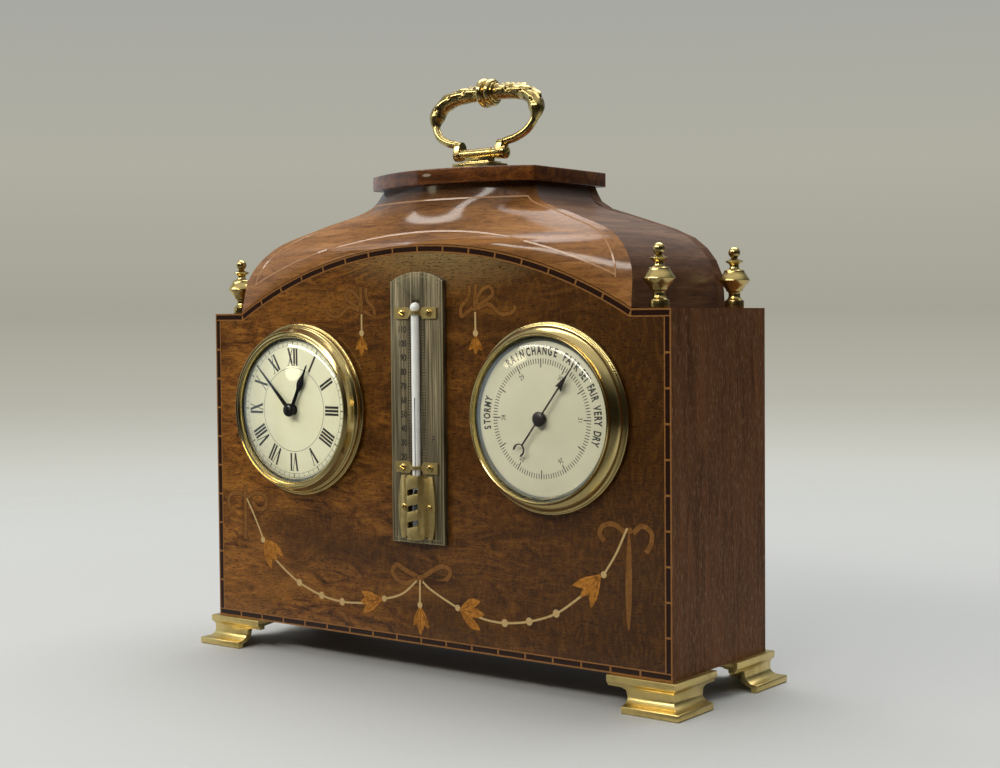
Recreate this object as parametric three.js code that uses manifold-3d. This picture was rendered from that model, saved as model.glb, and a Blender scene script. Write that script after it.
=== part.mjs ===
// Desk compendium: a small mahogany case with a clock, an aneroid barometer and a thermometer.
// Millimetres, +Z up, front towards -Y. Inside the model group y = 0 is the case's front face and
// z = 0 is the floor under the feet; the exported group is moved so that the origin lies under the
// middle of the whole object's box.
import * as THREE from 'three';
import { mergeVertices } from 'three/addons/utils/BufferGeometryUtils.js';
import Module from 'manifold-3d';

const wasm = await Module();
wasm.setup();

// Clearances
const gap = 0.3;
const runningGap = 0.25;

// Case
const caseWidth = 268;
const caseDepth = 78;
const caseHeight = 152;
const frontThickness = 6;
const sideThickness = 7;
const boardThickness = 8;
const archShoulder = 19;
const archHalfChord = caseWidth / 2 - archShoulder;
const archRise = 30;
const archSteps = 22;

// Back frame and door
const frameThickness = 8;
const doorThickness = 6;
const frameRail = 14;
const frameStile = 20;
const rebate = 3;
const doorGap = 0.6;
const knobRadius = 4;
const knobReach = 6.5;
const knobInset = 9;
const hingeLength = 48;
const hingeLeafWidth = 11;
const leafThickness = 0.8;
const knuckleRadius = 1.7;
const hingePinRadius = 0.7;

// Feet
const footHeight = 14.3;
const footArm = 30.5;
const footBase = 20.6;
const footSpread = 7;
const footWall = 3;
const footLip = 3;
const footBand = 1.6;
const footRim = 4.6;
const footShelf = 10;

// Roof
const roofWall = 7;
const roofBackInset = 1.5;
const roofLevels = 12;
const neckTop = 57.9;
const neckBow = 12;
const capThickness = 6.8;
const capHalfWidth = 48.5;
const capFront = 24.3;
const capBack = 80.8;
const capBow = 16;

// Finials
const finialInset = 10.6;
const finialFrontInset = 8;
const finialBackInset = 8;
const finialStudRadius = 1.5;
const finialStudLength = 6;
const finialBase = 4.2;
const finialBelly = 6.8;
const finialBall = 2.55;
const finialHeight = 27;
const finialSides = 12;

// Handle
const handleY = 46.2;
const restLean = 13.7;
const pedestalHalfLength = 11.1;
const pedestalHalfWidth = 7.5;
const pedestalHeight = 5.1;
const pedestalInset = 2.2;
const pedestalTop = 5.9;
const pivotHeight = 9.7;
const barrelRadius = 2.6;
const barrelHalfLength = 10.7;
const lugThickness = 3.3;
const lugRadius = 2.9;
const lugTop = 6.5;
const bailHalfWidth = 30.2;
const bailHeight = 30.4;
const limbRadius = 1.9;
const gripRadius = 3.8;
const collarRadius = 7.1;
const collarHalfLength = 5;
const pivotScrewRadius = 1.2;
const pivotHeadRadius = 3.2;
const pivotHeadReach = 2.2;

// Dials: both instruments share the same bezel, glass and drum sizes
const dialInset = 60.5;
const dialOffset = caseWidth / 2 - dialInset;
const dialHeight = 105.7;
const bezelRadius = 41.2;
const sightRadius = 34.4;
const bezelReach = 8.9;
const bezelRecess = 1.3;
const drumRadius = 36;
const drumWall = 0.8;
const drumFront = 5.4;
const dialThickness = 0.8;
const glassThickness = 0.8;
const glassRise = 5.4;
const clockDrumDepth = 34;
const barometerDrumDepth = 30;
const roundSides = 32;
const dialHoleRadius = 2.6;

// Clock hands: the time shown is eight minutes to one
const minuteHandLength = 29.6;
const hourHandLength = 24;
const handThickness = 0.6;
const shownHour = 12;
const shownMinute = 52;

// Clock movement
const plateThickness = 1.6;
const frontPlateY = 2;
const plateSpacing = 18;
const backPlateRadius = 30;
const pillarRadius = 1.8;
const pillarCircle = 26.5;
const wheelThickness = 1.1;
const settingArborRadius = 0.8;
const arborRadius = 0.7;
const pivotHoleGap = 0.3;

const trainModule = 0.42;
const thirdModule = 0.38;
const fourthModule = 0.36;
const motionModule = 0.4;
const greatTeeth = 60;
const centreLeaves = 10;
const centreTeeth = 48;
const thirdLeaves = 6;
const thirdTeeth = 45;
const fourthLeaves = 6;
const fourthTeeth = 42;
const escapeLeaves = 7;
const escapeTeeth = 15;
const cannonTeeth = 10;
const minuteWheelTeeth = 30;
const minutePinionTeeth = 8;
const hourTeeth = 32;
const springBarrelRadius = 10.6;
const barrelDepth = 8.6;
const escapeRadius = 5.6;
const balanceRadius = 7.5;

// Directions of the arbors, in degrees from +X, each from the arbor before it
const barrelDirection = 200;
const thirdDirection = 60;
const fourthDirection = -20;
const escapeDirection = -70;
const balanceDirection = -115;
const balanceDistance = 12.4;
const minuteWheelDirection = 130;

// Winding key and setting knob
const keyReach = 21;
const keyBow = 9;
const windingSquare = 1.6;
const setKnobRadius = 4.2;
const setKnobLength = 6;

// Barometer movement
const capsuleRadius = 19;
const capsuleThickness = 7;
const capsuleY = 14;
const barometerHandLength = 27.5;
const barometerTailLength = 17.5;
const leverLength = 26;
const barometerReading = 37;

// Thermometer
const thermometerX = 1.3;
const plateWidth = 31;
const plateBottom = 46.8;
const plateShoulder = 165.5;
const platePeak = 169.8;
const scaleThickness = 2.8;
const tubeRadius = 1.95;
const tubeStand = 0.65;
const tubeTop = 156;
const tubeBottom = 52;
const boreRadius = 0.9;
const mercuryTop = 113;
const clipWidth = 24.8;
const clipHeight = 5.4;
const clipThickness = 1;
const upperClipZ = 148.5;
const lowerClipZ = 78.6;
const guardBottom = 48.6;
const guardHeight = 29.4;
const guardWidth = 21.7;
const guardCage = 7.2;
const guardCornerWidth = 3;
const guardCornerHeight = 5.2;

// Finishes, by eye from the photograph
const finish = (color, roughness, metalness) =>
  new THREE.MeshStandardMaterial({ color, roughness, metalness });
const mahogany = () => finish(0x5b3a1a, 0.35, 0);
const sideMahogany = () => finish(0x5a3c2c, 0.45, 0);
const roofMahogany = () => finish(0x8a5c40, 0.3, 0);
const innerMahogany = () => finish(0x6b4a32, 0.7, 0);
const polishedBrass = () => finish(0xd8b65a, 0.22, 1);
const plainBrass = () => finish(0xb99a52, 0.4, 1);
const blueSteel = () => finish(0x16171a, 0.3, 0.8);
const steel = () => finish(0x8d8f92, 0.3, 1);
const clockEnamel = () => finish(0xe6e8cc, 0.3, 0);
const barometerCard = () => finish(0xcfcdb8, 0.45, 0);
const clearGlass = () => {
  const glass = finish(0xeef2f2, 0.05, 0);
  glass.transparent = true;
  glass.opacity = 0.25;
  return glass;
};
const capsuleBrass = () => finish(0xb08a50, 0.35, 1);
const silveredBrass = () => finish(0x8a8470, 0.4, 0.7);
const mercurySilver = () => finish(0xc8cacc, 0.15, 1);

// Solids: closing, joining and cutting

function closedMesh(geometry) {
  const bare = geometry.clone();
  bare.deleteAttribute('normal');
  bare.deleteAttribute('uv');
  const merged = mergeVertices(bare, 1e-4);
  const position = merged.attributes.position;
  const kept = [];
  let volume = 0;
  const a = new THREE.Vector3();
  const b = new THREE.Vector3();
  const c = new THREE.Vector3();
  for (let i = 0; i < merged.index.count; i += 3) {
    const [p, q, r] = [0, 1, 2].map((k) => merged.index.getX(i + k));
    if (p === q || q === r || r === p) continue;
    a.fromBufferAttribute(position, p);
    b.fromBufferAttribute(position, q);
    c.fromBufferAttribute(position, r);
    volume += a.dot(b.cross(c));
    kept.push(p, q, r);
  }
  if (volume < 0) {
    for (let i = 0; i < kept.length; i += 3) [kept[i + 1], kept[i + 2]] = [kept[i + 2], kept[i + 1]];
  }
  return new wasm.Mesh({
    numProp: 3,
    vertProperties: new Float32Array(position.array),
    triVerts: new Uint32Array(kept),
  });
}

const solid = (geometry) => new wasm.Manifold(closedMesh(geometry));

function geometryOf(body) {
  const mesh = body.getMesh();
  const geometry = new THREE.BufferGeometry();
  geometry.setAttribute('position', new THREE.BufferAttribute(mesh.vertProperties, 3));
  geometry.setIndex(new THREE.BufferAttribute(mesh.triVerts, 1));
  return geometry;
}

const joined = (...parts) => geometryOf(parts.map(solid).reduce((sum, part) => sum.add(part)));
const cut = (base, ...tools) =>
  geometryOf(tools.map(solid).reduce((rest, tool) => rest.subtract(tool), solid(base)));
const clean = (geometry) => geometryOf(solid(geometry));

// Basic forms. A board stands in the XZ plane and is extruded along +Y from y = 0.

const shapeOf = (points) => new THREE.Shape(points.map(([x, z]) => new THREE.Vector2(x, z)));

function board(points, thickness) {
  const geometry = new THREE.ExtrudeGeometry(shapeOf(points), { depth: thickness, bevelEnabled: false });
  return geometry.rotateX(Math.PI / 2).translate(0, thickness, 0);
}

// A slab lies in the XY plane and is extruded along +Z from z = 0.
function slab(points, thickness) {
  return new THREE.ExtrudeGeometry(shapeOf(points), { depth: thickness, bevelEnabled: false });
}

function block(x0, x1, y0, y1, z0, z1) {
  const box = new THREE.BoxGeometry(x1 - x0, y1 - y0, z1 - z0);
  return box.translate((x0 + x1) / 2, (y0 + y1) / 2, (z0 + z1) / 2);
}

// A turning about Y: profile points are [radius, y].
const turnedY = (profile, sides) =>
  new THREE.LatheGeometry(profile.map(([r, y]) => new THREE.Vector2(r, y)), sides);
const turnedZ = (profile, sides) => turnedY(profile, sides).rotateX(Math.PI / 2);
const turnedX = (profile, sides) => turnedY(profile, sides).rotateZ(-Math.PI / 2);

const rodProfile = (radius, from, to) => [[0, from], [radius, from], [radius, to], [0, to]];
const rodY = (radius, from, to, sides = 12) => turnedY(rodProfile(radius, from, to), sides);
const rodZ = (radius, from, to, sides = 12) => turnedZ(rodProfile(radius, from, to), sides);
const rodX = (radius, from, to, sides = 12) => turnedX(rodProfile(radius, from, to), sides);

// A loft joins rings of equal point count, given as [x, y, z] lists, and caps both ends.
function loft(rings) {
  const count = rings[0].length;
  const positions = rings.flat(2);
  const index = [];
  for (let k = 0; k + 1 < rings.length; k += 1) {
    for (let i = 0; i < count; i += 1) {
      const j = (i + 1) % count;
      const [a, b, c, d] = [k * count + i, k * count + j, (k + 1) * count + j, (k + 1) * count + i];
      index.push(a, b, c, a, c, d);
    }
  }
  const capPlane = (ring) => {
    const spread = [0, 1, 2].map((axis) => {
      const values = ring.map((point) => point[axis]);
      return Math.max(...values) - Math.min(...values);
    });
    const flat = spread.indexOf(Math.min(...spread));
    return [0, 1, 2].filter((axis) => axis !== flat);
  };
  [0, rings.length - 1].forEach((k) => {
    const [u, v] = capPlane(rings[k]);
    const outline = rings[k].map((point) => new THREE.Vector2(point[u], point[v]));
    const reversed = THREE.ShapeUtils.area(outline) < 0;
    const order = outline.map((_, i) => (reversed ? outline.length - 1 - i : i));
    const faces = THREE.ShapeUtils.triangulateShape(order.map((i) => outline[i]), []);
    faces.forEach((face) => {
      let [a, b, c] = face.map((i) => k * count + order[i]);
      const wantsFlip = (k === 0) === reversed;
      if (!wantsFlip) [b, c] = [c, b];
      index.push(a, b, c);
    });
  });
  const geometry = new THREE.BufferGeometry();
  geometry.setAttribute('position', new THREE.BufferAttribute(new Float32Array(positions), 3));
  geometry.setIndex(index);
  return geometry;
}

const degrees = (value) => (value * Math.PI) / 180;
const polar = (radius, direction) => {
  const angle = degrees(direction);
  return [radius * Math.cos(angle), radius * Math.sin(angle)];
};

// The scene graph

const model = new THREE.Group();

function addPiece(parent, name, geometry, material, position = [0, 0, 0]) {
  const mesh = new THREE.Mesh(geometry, material);
  mesh.name = name;
  mesh.position.set(...position);
  parent.add(mesh);
  return mesh;
}

function addGroup(parent, position) {
  const group = new THREE.Group();
  group.position.set(...position);
  parent.add(group);
  return group;
}

const archRadius = (archHalfChord ** 2 + archRise ** 2) / (2 * archRise);
const archHalfAngle = Math.asin(archHalfChord / archRadius);
const innerHalfWidth = caseWidth / 2 - sideThickness;

// The arch from its right end to its left, as [x, z] with z above the case's underside.
function archPoints(lift = 0) {
  const centre = caseHeight + archRise - archRadius;
  return Array.from({ length: archSteps + 1 }, (_, i) => {
    const angle = archHalfAngle * (1 - (2 * i) / archSteps);
    return [(archRadius + lift) * Math.sin(angle), centre + (archRadius + lift) * Math.cos(angle)];
  });
}

function finialPlaces() {
  const x = caseWidth / 2 - finialInset;
  const back = caseDepth - finialBackInset;
  return [['front_left_finial', -x, finialFrontInset], ['front_right_finial', x, finialFrontInset],
    ['back_left_finial', -x, back], ['back_right_finial', x, back]];
}

function buildCase() {
  const body = addGroup(model, [0, 0, footHeight]);
  const half = caseWidth / 2;
  const outline = [[-half, 0], [half, 0], [half, caseHeight], ...archPoints(), [-half, caseHeight]];
  const holes = [-dialOffset, dialOffset].map((x) =>
    rodY(drumRadius + gap, -1, frontThickness + 1, roundSides).translate(x, 0, dialHeight));
  addPiece(body, 'front_panel', cut(board(outline, frontThickness), ...holes), mahogany());

  const side = (x0, x1) => clean(block(x0, x1, frontThickness, caseDepth, 0, caseHeight));
  addPiece(body, 'left_side_panel', side(-half, -innerHalfWidth), sideMahogany());
  addPiece(body, 'right_side_panel', side(innerHalfWidth, half), sideMahogany());
  const level = (z0) =>
    block(-innerHalfWidth, innerHalfWidth, frontThickness, caseDepth, z0, z0 + boardThickness);
  addPiece(body, 'bottom_board', clean(level(0)), innerMahogany());

  const studHole = rodZ(finialStudRadius + runningGap,
    caseHeight - finialStudLength - gap, caseHeight + 1, 8);
  const studHoles = finialPlaces().map(([, x, y]) => studHole.clone().translate(x, y, 0));
  addPiece(body, 'top_board', cut(level(caseHeight - boardThickness), ...studHoles), innerMahogany());
  buildBack(body);
}

// The back: a rebated frame between the boards, and a door hung on one butt hinge.
function buildBack(body) {
  const z0 = boardThickness;
  const z1 = caseHeight - boardThickness;
  const frontY = caseDepth - frameThickness;
  const doorHalf = innerHalfWidth - frameStile;
  const doorZ = [z0 + frameRail, z1 - frameRail];
  const doorY = caseDepth - doorThickness;
  const frame = cut(
    block(-innerHalfWidth, innerHalfWidth, frontY, caseDepth, z0, z1),
    block(-doorHalf, doorHalf, doorY - gap, caseDepth + 1, doorZ[0], doorZ[1]),
    block(-doorHalf + rebate, doorHalf - rebate, frontY - 1, caseDepth,
      doorZ[0] + rebate, doorZ[1] - rebate));
  addPiece(body, 'back_frame', frame, innerMahogany());

  const door = block(-doorHalf + doorGap, doorHalf - doorGap, doorY, caseDepth,
    doorZ[0] + doorGap, doorZ[1] - doorGap);
  addPiece(body, 'back_door', clean(door), sideMahogany());
  const knobProfile = [[0, 0], [knobRadius * 0.8, 0], [knobRadius * 0.8, knobReach * 0.15],
    [knobRadius * 0.4, knobReach * 0.28], [knobRadius * 0.4, knobReach * 0.45],
    [knobRadius, knobReach * 0.7], [knobRadius * 0.7, knobReach], [0, knobReach]];
  const middle = (doorZ[0] + doorZ[1]) / 2;
  addPiece(body, 'back_door_knob', clean(turnedY(knobProfile, 12)), plainBrass(),
    [doorHalf - doorGap - knobInset, caseDepth, middle]);

  const hinge = addGroup(body, [-doorHalf + doorGap / 2, caseDepth + knuckleRadius, middle]);
  const third = hingeLength / 6;
  const top = hingeLength / 2;
  const leaf = (x0, x1) => block(x0, x1, -knuckleRadius, -knuckleRadius + leafThickness, -top, top);
  const knuckle = (radius, from, to) => rodZ(radius, from, to, 12);
  const shared = knuckleRadius + gap;
  const frameLeaf = cut(
    joined(leaf(-hingeLeafWidth, 0), knuckle(knuckleRadius, -top, top)),
    knuckle(shared, -third - gap, third + gap),
    block(-shared, shared, -shared, shared, -third - gap, third + gap));
  addPiece(hinge, 'hinge_frame_leaf',
    joined(frameLeaf, knuckle(hingePinRadius, -top, top)), plainBrass());
  const doorLeaf = cut(
    joined(leaf(0, hingeLeafWidth), knuckle(knuckleRadius, -third, third)),
    knuckle(hingePinRadius + runningGap, -top, top),
    block(-shared, shared, -shared, shared, third, top + 1),
    block(-shared, shared, -shared, shared, -top - 1, -third));
  addPiece(hinge, 'hinge_door_leaf', doorLeaf, plainBrass());
}

// A bracket foot: one moulded section carried round the corner, then both arms cut to their outline.
// Section points are [reach beyond the case, height].
function footGeometry(sx, sy) {
  const h = footHeight;
  const section = [[0, h], [footLip * 0.6, h - 0.2], [footLip, h - 1.4], [footLip, h - 2.6],
    [footBand, h - 3.8], [footBand, h - 7.6], [footBand + 1, h - 9.2], [footSpread - 1.8, h - 10.4],
    [footSpread, h - 11.7], [footSpread, 1], [footSpread - 0.6, 0], [footSpread - footWall, 0],
    [footSpread - footWall, h - 12.4], [footBand - footWall, h - 10.2], [footBand - footWall, h - 3],
    [-footShelf, h - 2], [-footShelf, h]];
  const station = (place) => section.map(([reach, z]) => [...place(reach), z]);
  const path = loft([
    station((reach) => [-footArm, -reach]),
    station((reach) => [reach, -reach]),
    station((reach) => [reach, footArm]),
  ]);
  const beyond = footArm + footShelf;
  const under = [[-beyond, h - footRim], [-footBase - 3, h - footRim - 0.2], [-footBase - 0.8, h - 6.2],
    [-footBase, h - 8], [-footBase, -1], [-beyond, -1]];
  const armCut = board(under, 2 * footShelf).translate(0, -footShelf, 0);
  const otherCut = armCut.clone().rotateZ(-Math.PI / 2);
  return clean(cut(path, armCut, otherCut).scale(sx, sy, 1));
}

function buildFeet() {
  const half = caseWidth / 2;
  const corners = [['front_left_foot', -1, 1, 0], ['front_right_foot', 1, 1, 0],
    ['back_left_foot', -1, -1, caseDepth], ['back_right_foot', 1, -1, caseDepth]];
  corners.forEach(([name, sx, sy, y]) => {
    addPiece(model, name, footGeometry(sx, sy), polishedBrass(), [sx * half, y, 0]);
  });
}

function buildFinials() {
  const ballZ = finialHeight - finialBall;
  const profile = [[0, -finialStudLength], [finialStudRadius, -finialStudLength], [finialStudRadius, 0],
    [finialBase * 0.9, 0], [finialBase, 0.9], [finialBase, 3], [finialBase * 0.75, 4], [2.5, 5.3], [2.6, 7],
    [3.8, 8.4], [finialBelly, 12.1], [finialBelly, 12.6], [3.9, 16.6], [2, 17.3], [2, 19.5], [3.9, 20.5],
    [1.5, ballZ - finialBall * 0.9], [finialBall, ballZ - finialBall * 0.4],
    [finialBall, ballZ + finialBall * 0.4], [finialBall * 0.6, ballZ + finialBall * 0.85], [0, finialHeight]];
  const finial = clean(turnedZ(profile, finialSides));
  finialPlaces().forEach(([name, x, y]) => {
    addPiece(model, name, finial.clone(), polishedBrass(), [x, y, footHeight + caseHeight]);
  });
}

// Roof: the mitre line gives, at each height over the case top, the half width and the front inset.
const mitreLine = new THREE.CatmullRomCurve3([
  [archHalfChord, 0, 0], [archHalfChord - 2.4, 3.6, archRise * 0.6],
  [archHalfChord - 13.5, 9.1, archRise + 1], [archHalfChord - 39, 16.8, neckTop - 16.9],
  [capHalfWidth + 1.8, capFront + 0.9, neckTop - 7.9], [capHalfWidth - 3.1, capFront + 4.8, neckTop],
].map((point) => new THREE.Vector3(...point)));
const neckFront = capFront - neckBow + 0.2;

function roofSection(level) {
  const { x: half, y: inset, z } = mitreLine.getPoint(level / roofLevels);
  const arch = z < archRise ? Math.sqrt(archRadius ** 2 - (z + archRadius - archRise) ** 2) : 0;
  const flat = Math.min(Math.max(arch, 0.6), half - 0.05);
  const over = Math.max(0, (neckTop - Math.max(z, archRise)) / (neckTop - archRise));
  const centre = z > archRise ? neckFront * Math.sqrt(Math.max(0, 1 - over ** 2)) : 0;
  const front = (x) => {
    const share = Math.max(0, (Math.abs(x) - flat) / (half - flat));
    return centre + (inset - centre) * share ** 2;
  };
  return { half, inset, z, flat, front };
}

function roofFrontXs({ half, flat }) {
  const steps = 6;
  const right = Array.from({ length: steps + 1 }, (_, i) => flat + ((half - flat) * i) / steps);
  return [...right.slice().reverse().map((x) => -x), 0, ...right];
}

function buildRoof() {
  const base = addGroup(model, [0, 0, footHeight + caseHeight]);
  const levels = Array.from({ length: roofLevels + 1 }, (_, k) => roofSection(k));
  const back = caseDepth - roofBackInset;

  const frontRings = levels.map((section) => {
    const xs = roofFrontXs(section);
    const outer = xs.map((x) => [x, section.front(x), section.z]);
    const shrink = (section.half - roofWall) / section.half;
    const inner = xs.slice().reverse().map((x) => [x * shrink, section.front(x) + roofWall, section.z]);
    return [...outer, ...inner];
  });
  const margin = 5;
  const under = [...archPoints(gap), [-archHalfChord - margin, caseHeight - margin],
    [archHalfChord + margin, caseHeight - margin]];
  const panelSpace = board(under, frontThickness + margin).translate(0, -margin, -caseHeight);
  addPiece(base, 'roof_front_moulding', cut(loft(frontRings), panelSpace), roofMahogany());

  const mitreGap = gap * Math.SQRT2;
  [['roof_left_moulding', -1], ['roof_right_moulding', 1]].forEach(([name, sign]) => {
    const rings = levels.map(({ half, inset, z }) => [
      [sign * half, inset + mitreGap, z], [sign * half, back - roofWall, z],
      [sign * (half - roofWall), back - roofWall, z],
      [sign * (half - roofWall), inset + roofWall + mitreGap, z]]);
    addPiece(base, name, cut(loft(rings), panelSpace), roofMahogany());
  });
  const backRings = levels.map(({ half, z }) => [
    [-half, back - roofWall, z], [half, back - roofWall, z], [half, back, z], [-half, back, z]]);
  addPiece(base, 'roof_back_board', clean(loft(backRings)), innerMahogany());

  const capSteps = 14;
  const bow = Array.from({ length: capSteps + 1 }, (_, i) => {
    const share = (2 * i) / capSteps - 1;
    return [capHalfWidth * share, capFront - capBow * (1 - share ** 2)];
  });
  const cap = slab([...bow, [capHalfWidth, capBack], [-capHalfWidth, capBack]], capThickness);
  addPiece(base, 'roof_cap', clean(cap), roofMahogany(), [0, 0, neckTop]);
}

// The bail's centre line in the XZ plane, from its left lug over the top to its right lug.
function bailPath(lugMiddle) {
  const right = [[lugMiddle, lugTop * 0.3], [lugMiddle + 1, lugTop * 0.72],
    [bailHalfWidth * 0.67, bailHeight * 0.22], [bailHalfWidth * 0.86, bailHeight * 0.32],
    [bailHalfWidth * 0.97, bailHeight * 0.47],
    [bailHalfWidth, bailHeight * 0.63], [bailHalfWidth * 0.93, bailHeight * 0.81],
    [bailHalfWidth * 0.73, bailHeight * 0.94], [bailHalfWidth * 0.38, bailHeight * 0.995]];
  const left = right.map(([x, z]) => [-x, z]);
  const all = [...left, [0, bailHeight], ...right.slice().reverse()];
  return new THREE.CatmullRomCurve3(all.map(([x, z]) => new THREE.Vector3(x, 0, z)));
}

// Round rings along that line, thicker towards the grip.
function bailRings(path) {
  const steps = 30;
  const sides = 8;
  return Array.from({ length: steps + 1 }, (_, i) => {
    const point = path.getPointAt(i / steps);
    const along = path.getTangentAt(i / steps);
    const rise = Math.min(1, Math.max(0, (point.z / bailHeight - 0.35) / 0.45));
    const radius = limbRadius + (gripRadius - limbRadius) * rise;
    return Array.from({ length: sides }, (__, k) => {
      const angle = (2 * Math.PI * k) / sides;
      const out = radius * Math.cos(angle);
      return [point.x + out * along.z, radius * Math.sin(angle), point.z - out * along.x];
    });
  });
}

function buildHandle() {
  const pivot = addGroup(model, [0, handleY, footHeight + caseHeight + neckTop + capThickness + pivotHeight]);
  const screwBore = pivotScrewRadius + gap;
  const lugIn = barrelHalfLength + gap;
  const lugOut = lugIn + lugThickness;
  const step = (inset, low, high) => block(-pedestalHalfLength + inset, pedestalHalfLength - inset,
    -pedestalHalfWidth + inset, pedestalHalfWidth - inset, low - pivotHeight, high - pivotHeight);
  const web = block(-barrelHalfLength * 0.7, barrelHalfLength * 0.7, -barrelRadius * 0.8, barrelRadius * 0.8,
    pedestalHeight - pivotHeight, 0);
  const barrel = rodX(barrelRadius, -barrelHalfLength, barrelHalfLength, 14);
  const bore = rodX(screwBore, -lugOut - 1, lugOut + 1, 10);
  const pedestal = joined(step(0, 0, pedestalHeight), step(pedestalInset, pedestalHeight - 1, pedestalTop));
  addPiece(pivot, 'handle_bracket', cut(joined(pedestal, web, barrel), bore), polishedBrass());

  const round = (from, to, middle) => Array.from({ length: 7 }, (_, i) => {
    const angle = from + ((to - from) * i) / 6;
    return [lugRadius * Math.cos(angle), middle + lugRadius * Math.sin(angle)];
  });
  const lugOutline = [...round(0, Math.PI, lugTop - lugRadius), ...round(Math.PI, 2 * Math.PI, 0)];
  const lug = (x) => board(lugOutline, lugThickness).rotateZ(-Math.PI / 2).translate(x, 0, 0);
  const collar = turnedX([[0, -collarHalfLength], [gripRadius * 1.25, -collarHalfLength],
    [collarRadius * 0.82, -3.6], [collarRadius * 0.82, -2.6], [collarRadius * 0.66, -1.8],
    [collarRadius, -0.8], [collarRadius, 1.8], [collarRadius * 0.8, 3.2],
    [gripRadius * 1.25, collarHalfLength], [0, collarHalfLength]], 14);
  const blindEnd = -lugOut + 1;
  const headSpace = rodX(pivotHeadRadius + gap, lugOut, lugOut + 4, 12);
  const bail = cut(joined(loft(bailRings(bailPath((lugIn + lugOut) / 2))), lug(-lugOut), lug(lugIn),
    collar.translate(0, 0, bailHeight)), rodX(screwBore, blindEnd, lugOut + 1, 10), headSpace);
  addPiece(pivot, 'handle_bail', bail, polishedBrass()).rotation.x = degrees(-restLean);

  const screw = [[0, blindEnd + gap], [pivotScrewRadius, blindEnd + gap], [pivotScrewRadius, lugOut + gap],
    [pivotHeadRadius, lugOut + gap], [pivotHeadRadius, lugOut + pivotHeadReach * 0.45],
    [pivotHeadRadius * 0.65, lugOut + pivotHeadReach * 0.9], [0, lugOut + pivotHeadReach]];
  addPiece(pivot, 'handle_pivot_screw', clean(turnedX(screw, 12)), polishedBrass());
}

// Bezel, glass, dial: the same for both instruments, about the dial's axis.
function buildFace(parent, name, dialMaterial) {
  const bore = drumRadius + gap;
  const lipBack = drumFront + dialThickness + gap + glassThickness + gap;
  const seatY = -lipBack;
  const neck = bezelRadius - 1.4;
  const bezel = [[bore, 0], [neck, 0], [neck, -bezelRecess], [bezelRadius, -bezelRecess - 0.5],
    [bezelRadius, -bezelRecess - 1.7], [neck, -bezelRecess - 2.5], [neck - 0.8, -bezelRecess - 3.9],
    [bezelRadius - 5.2, -bezelReach], [sightRadius + 0.5, -bezelReach],
    [sightRadius, seatY], [bore, seatY], [bore, 0]];
  addPiece(parent, `${name}_bezel`, clean(turnedY(bezel, roundSides)), polishedBrass());

  const glassEdge = drumRadius - 0.1;
  const foot = sightRadius - gap;
  const dome = [[foot, 0], [foot - 1, 0.37], [foot - 4.4, 0.7], [foot * 0.62, 0.91]];
  const outer = dome.map(([r, share]) => [r, seatY - glassRise * share]);
  const inner = dome.slice(1).reverse().map(([r, share]) =>
    [r - 0.3, seatY + glassThickness - glassRise * share]);
  const glass = [[0, seatY - glassRise], ...outer.slice().reverse(), [glassEdge, seatY],
    [glassEdge, seatY + glassThickness], [foot - 0.8, seatY + glassThickness], ...inner.slice().reverse(),
    [0, seatY + glassThickness - glassRise]];
  addPiece(parent, `${name}_glass`, clean(turnedY(glass, roundSides)), clearGlass());

  const dialRadius = drumRadius - gap;
  const dialBack = -drumFront;
  const dial = [[dialHoleRadius, dialBack - dialThickness], [dialRadius, dialBack - dialThickness],
    [dialRadius, dialBack], [dialHoleRadius, dialBack], [dialHoleRadius, dialBack - dialThickness]];
  addPiece(parent, `${name}_dial`, clean(turnedY(dial, roundSides)), dialMaterial);
}

// A toothed outline in the XZ plane, one tooth centred on the given direction. Fine wheel teeth come to
// a point, pinion leaves have straight flanks and a flat top.
const pointedFrom = 24;

function toothedOutline(teeth, module, direction, addendum = 0.8) {
  const pitch = (teeth * module) / 2;
  const step = (2 * Math.PI) / teeth;
  const root = pitch - 1.05 * module;
  const tip = pitch + addendum * module;
  const points = [];
  for (let i = 0; i < teeth; i += 1) {
    const middle = direction + i * step;
    const tooth = teeth > pointedFrom ? [[tip, 0], [root, 0.5]]
      : [[root, -0.27], [tip, -0.1], [tip, 0.1], [root, 0.27]];
    tooth.forEach(([radius, share]) => {
      points.push([radius * Math.cos(middle + share * step), radius * Math.sin(middle + share * step)]);
    });
  }
  return points;
}

const wheelBoard = (teeth, module, direction, from, to) =>
  board(toothedOutline(teeth, module, direction), to - from).translate(0, from, 0);

const meshPhase = (direction, teeth) => direction + Math.PI + Math.PI / teeth;

function handOutline(length, tail, widths) {
  const right = widths.map(([share, width]) => [width / 2, share * length]);
  const left = right.slice().reverse().map(([x, z]) => [-x, z]);
  return [[0, -tail], ...right, [0, length], ...left];
}

function turned(points, angle) {
  const [s, c] = [Math.sin(angle), Math.cos(angle)];
  return points.map(([x, z]) => [x * c + z * s, z * c - x * s]);
}

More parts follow.
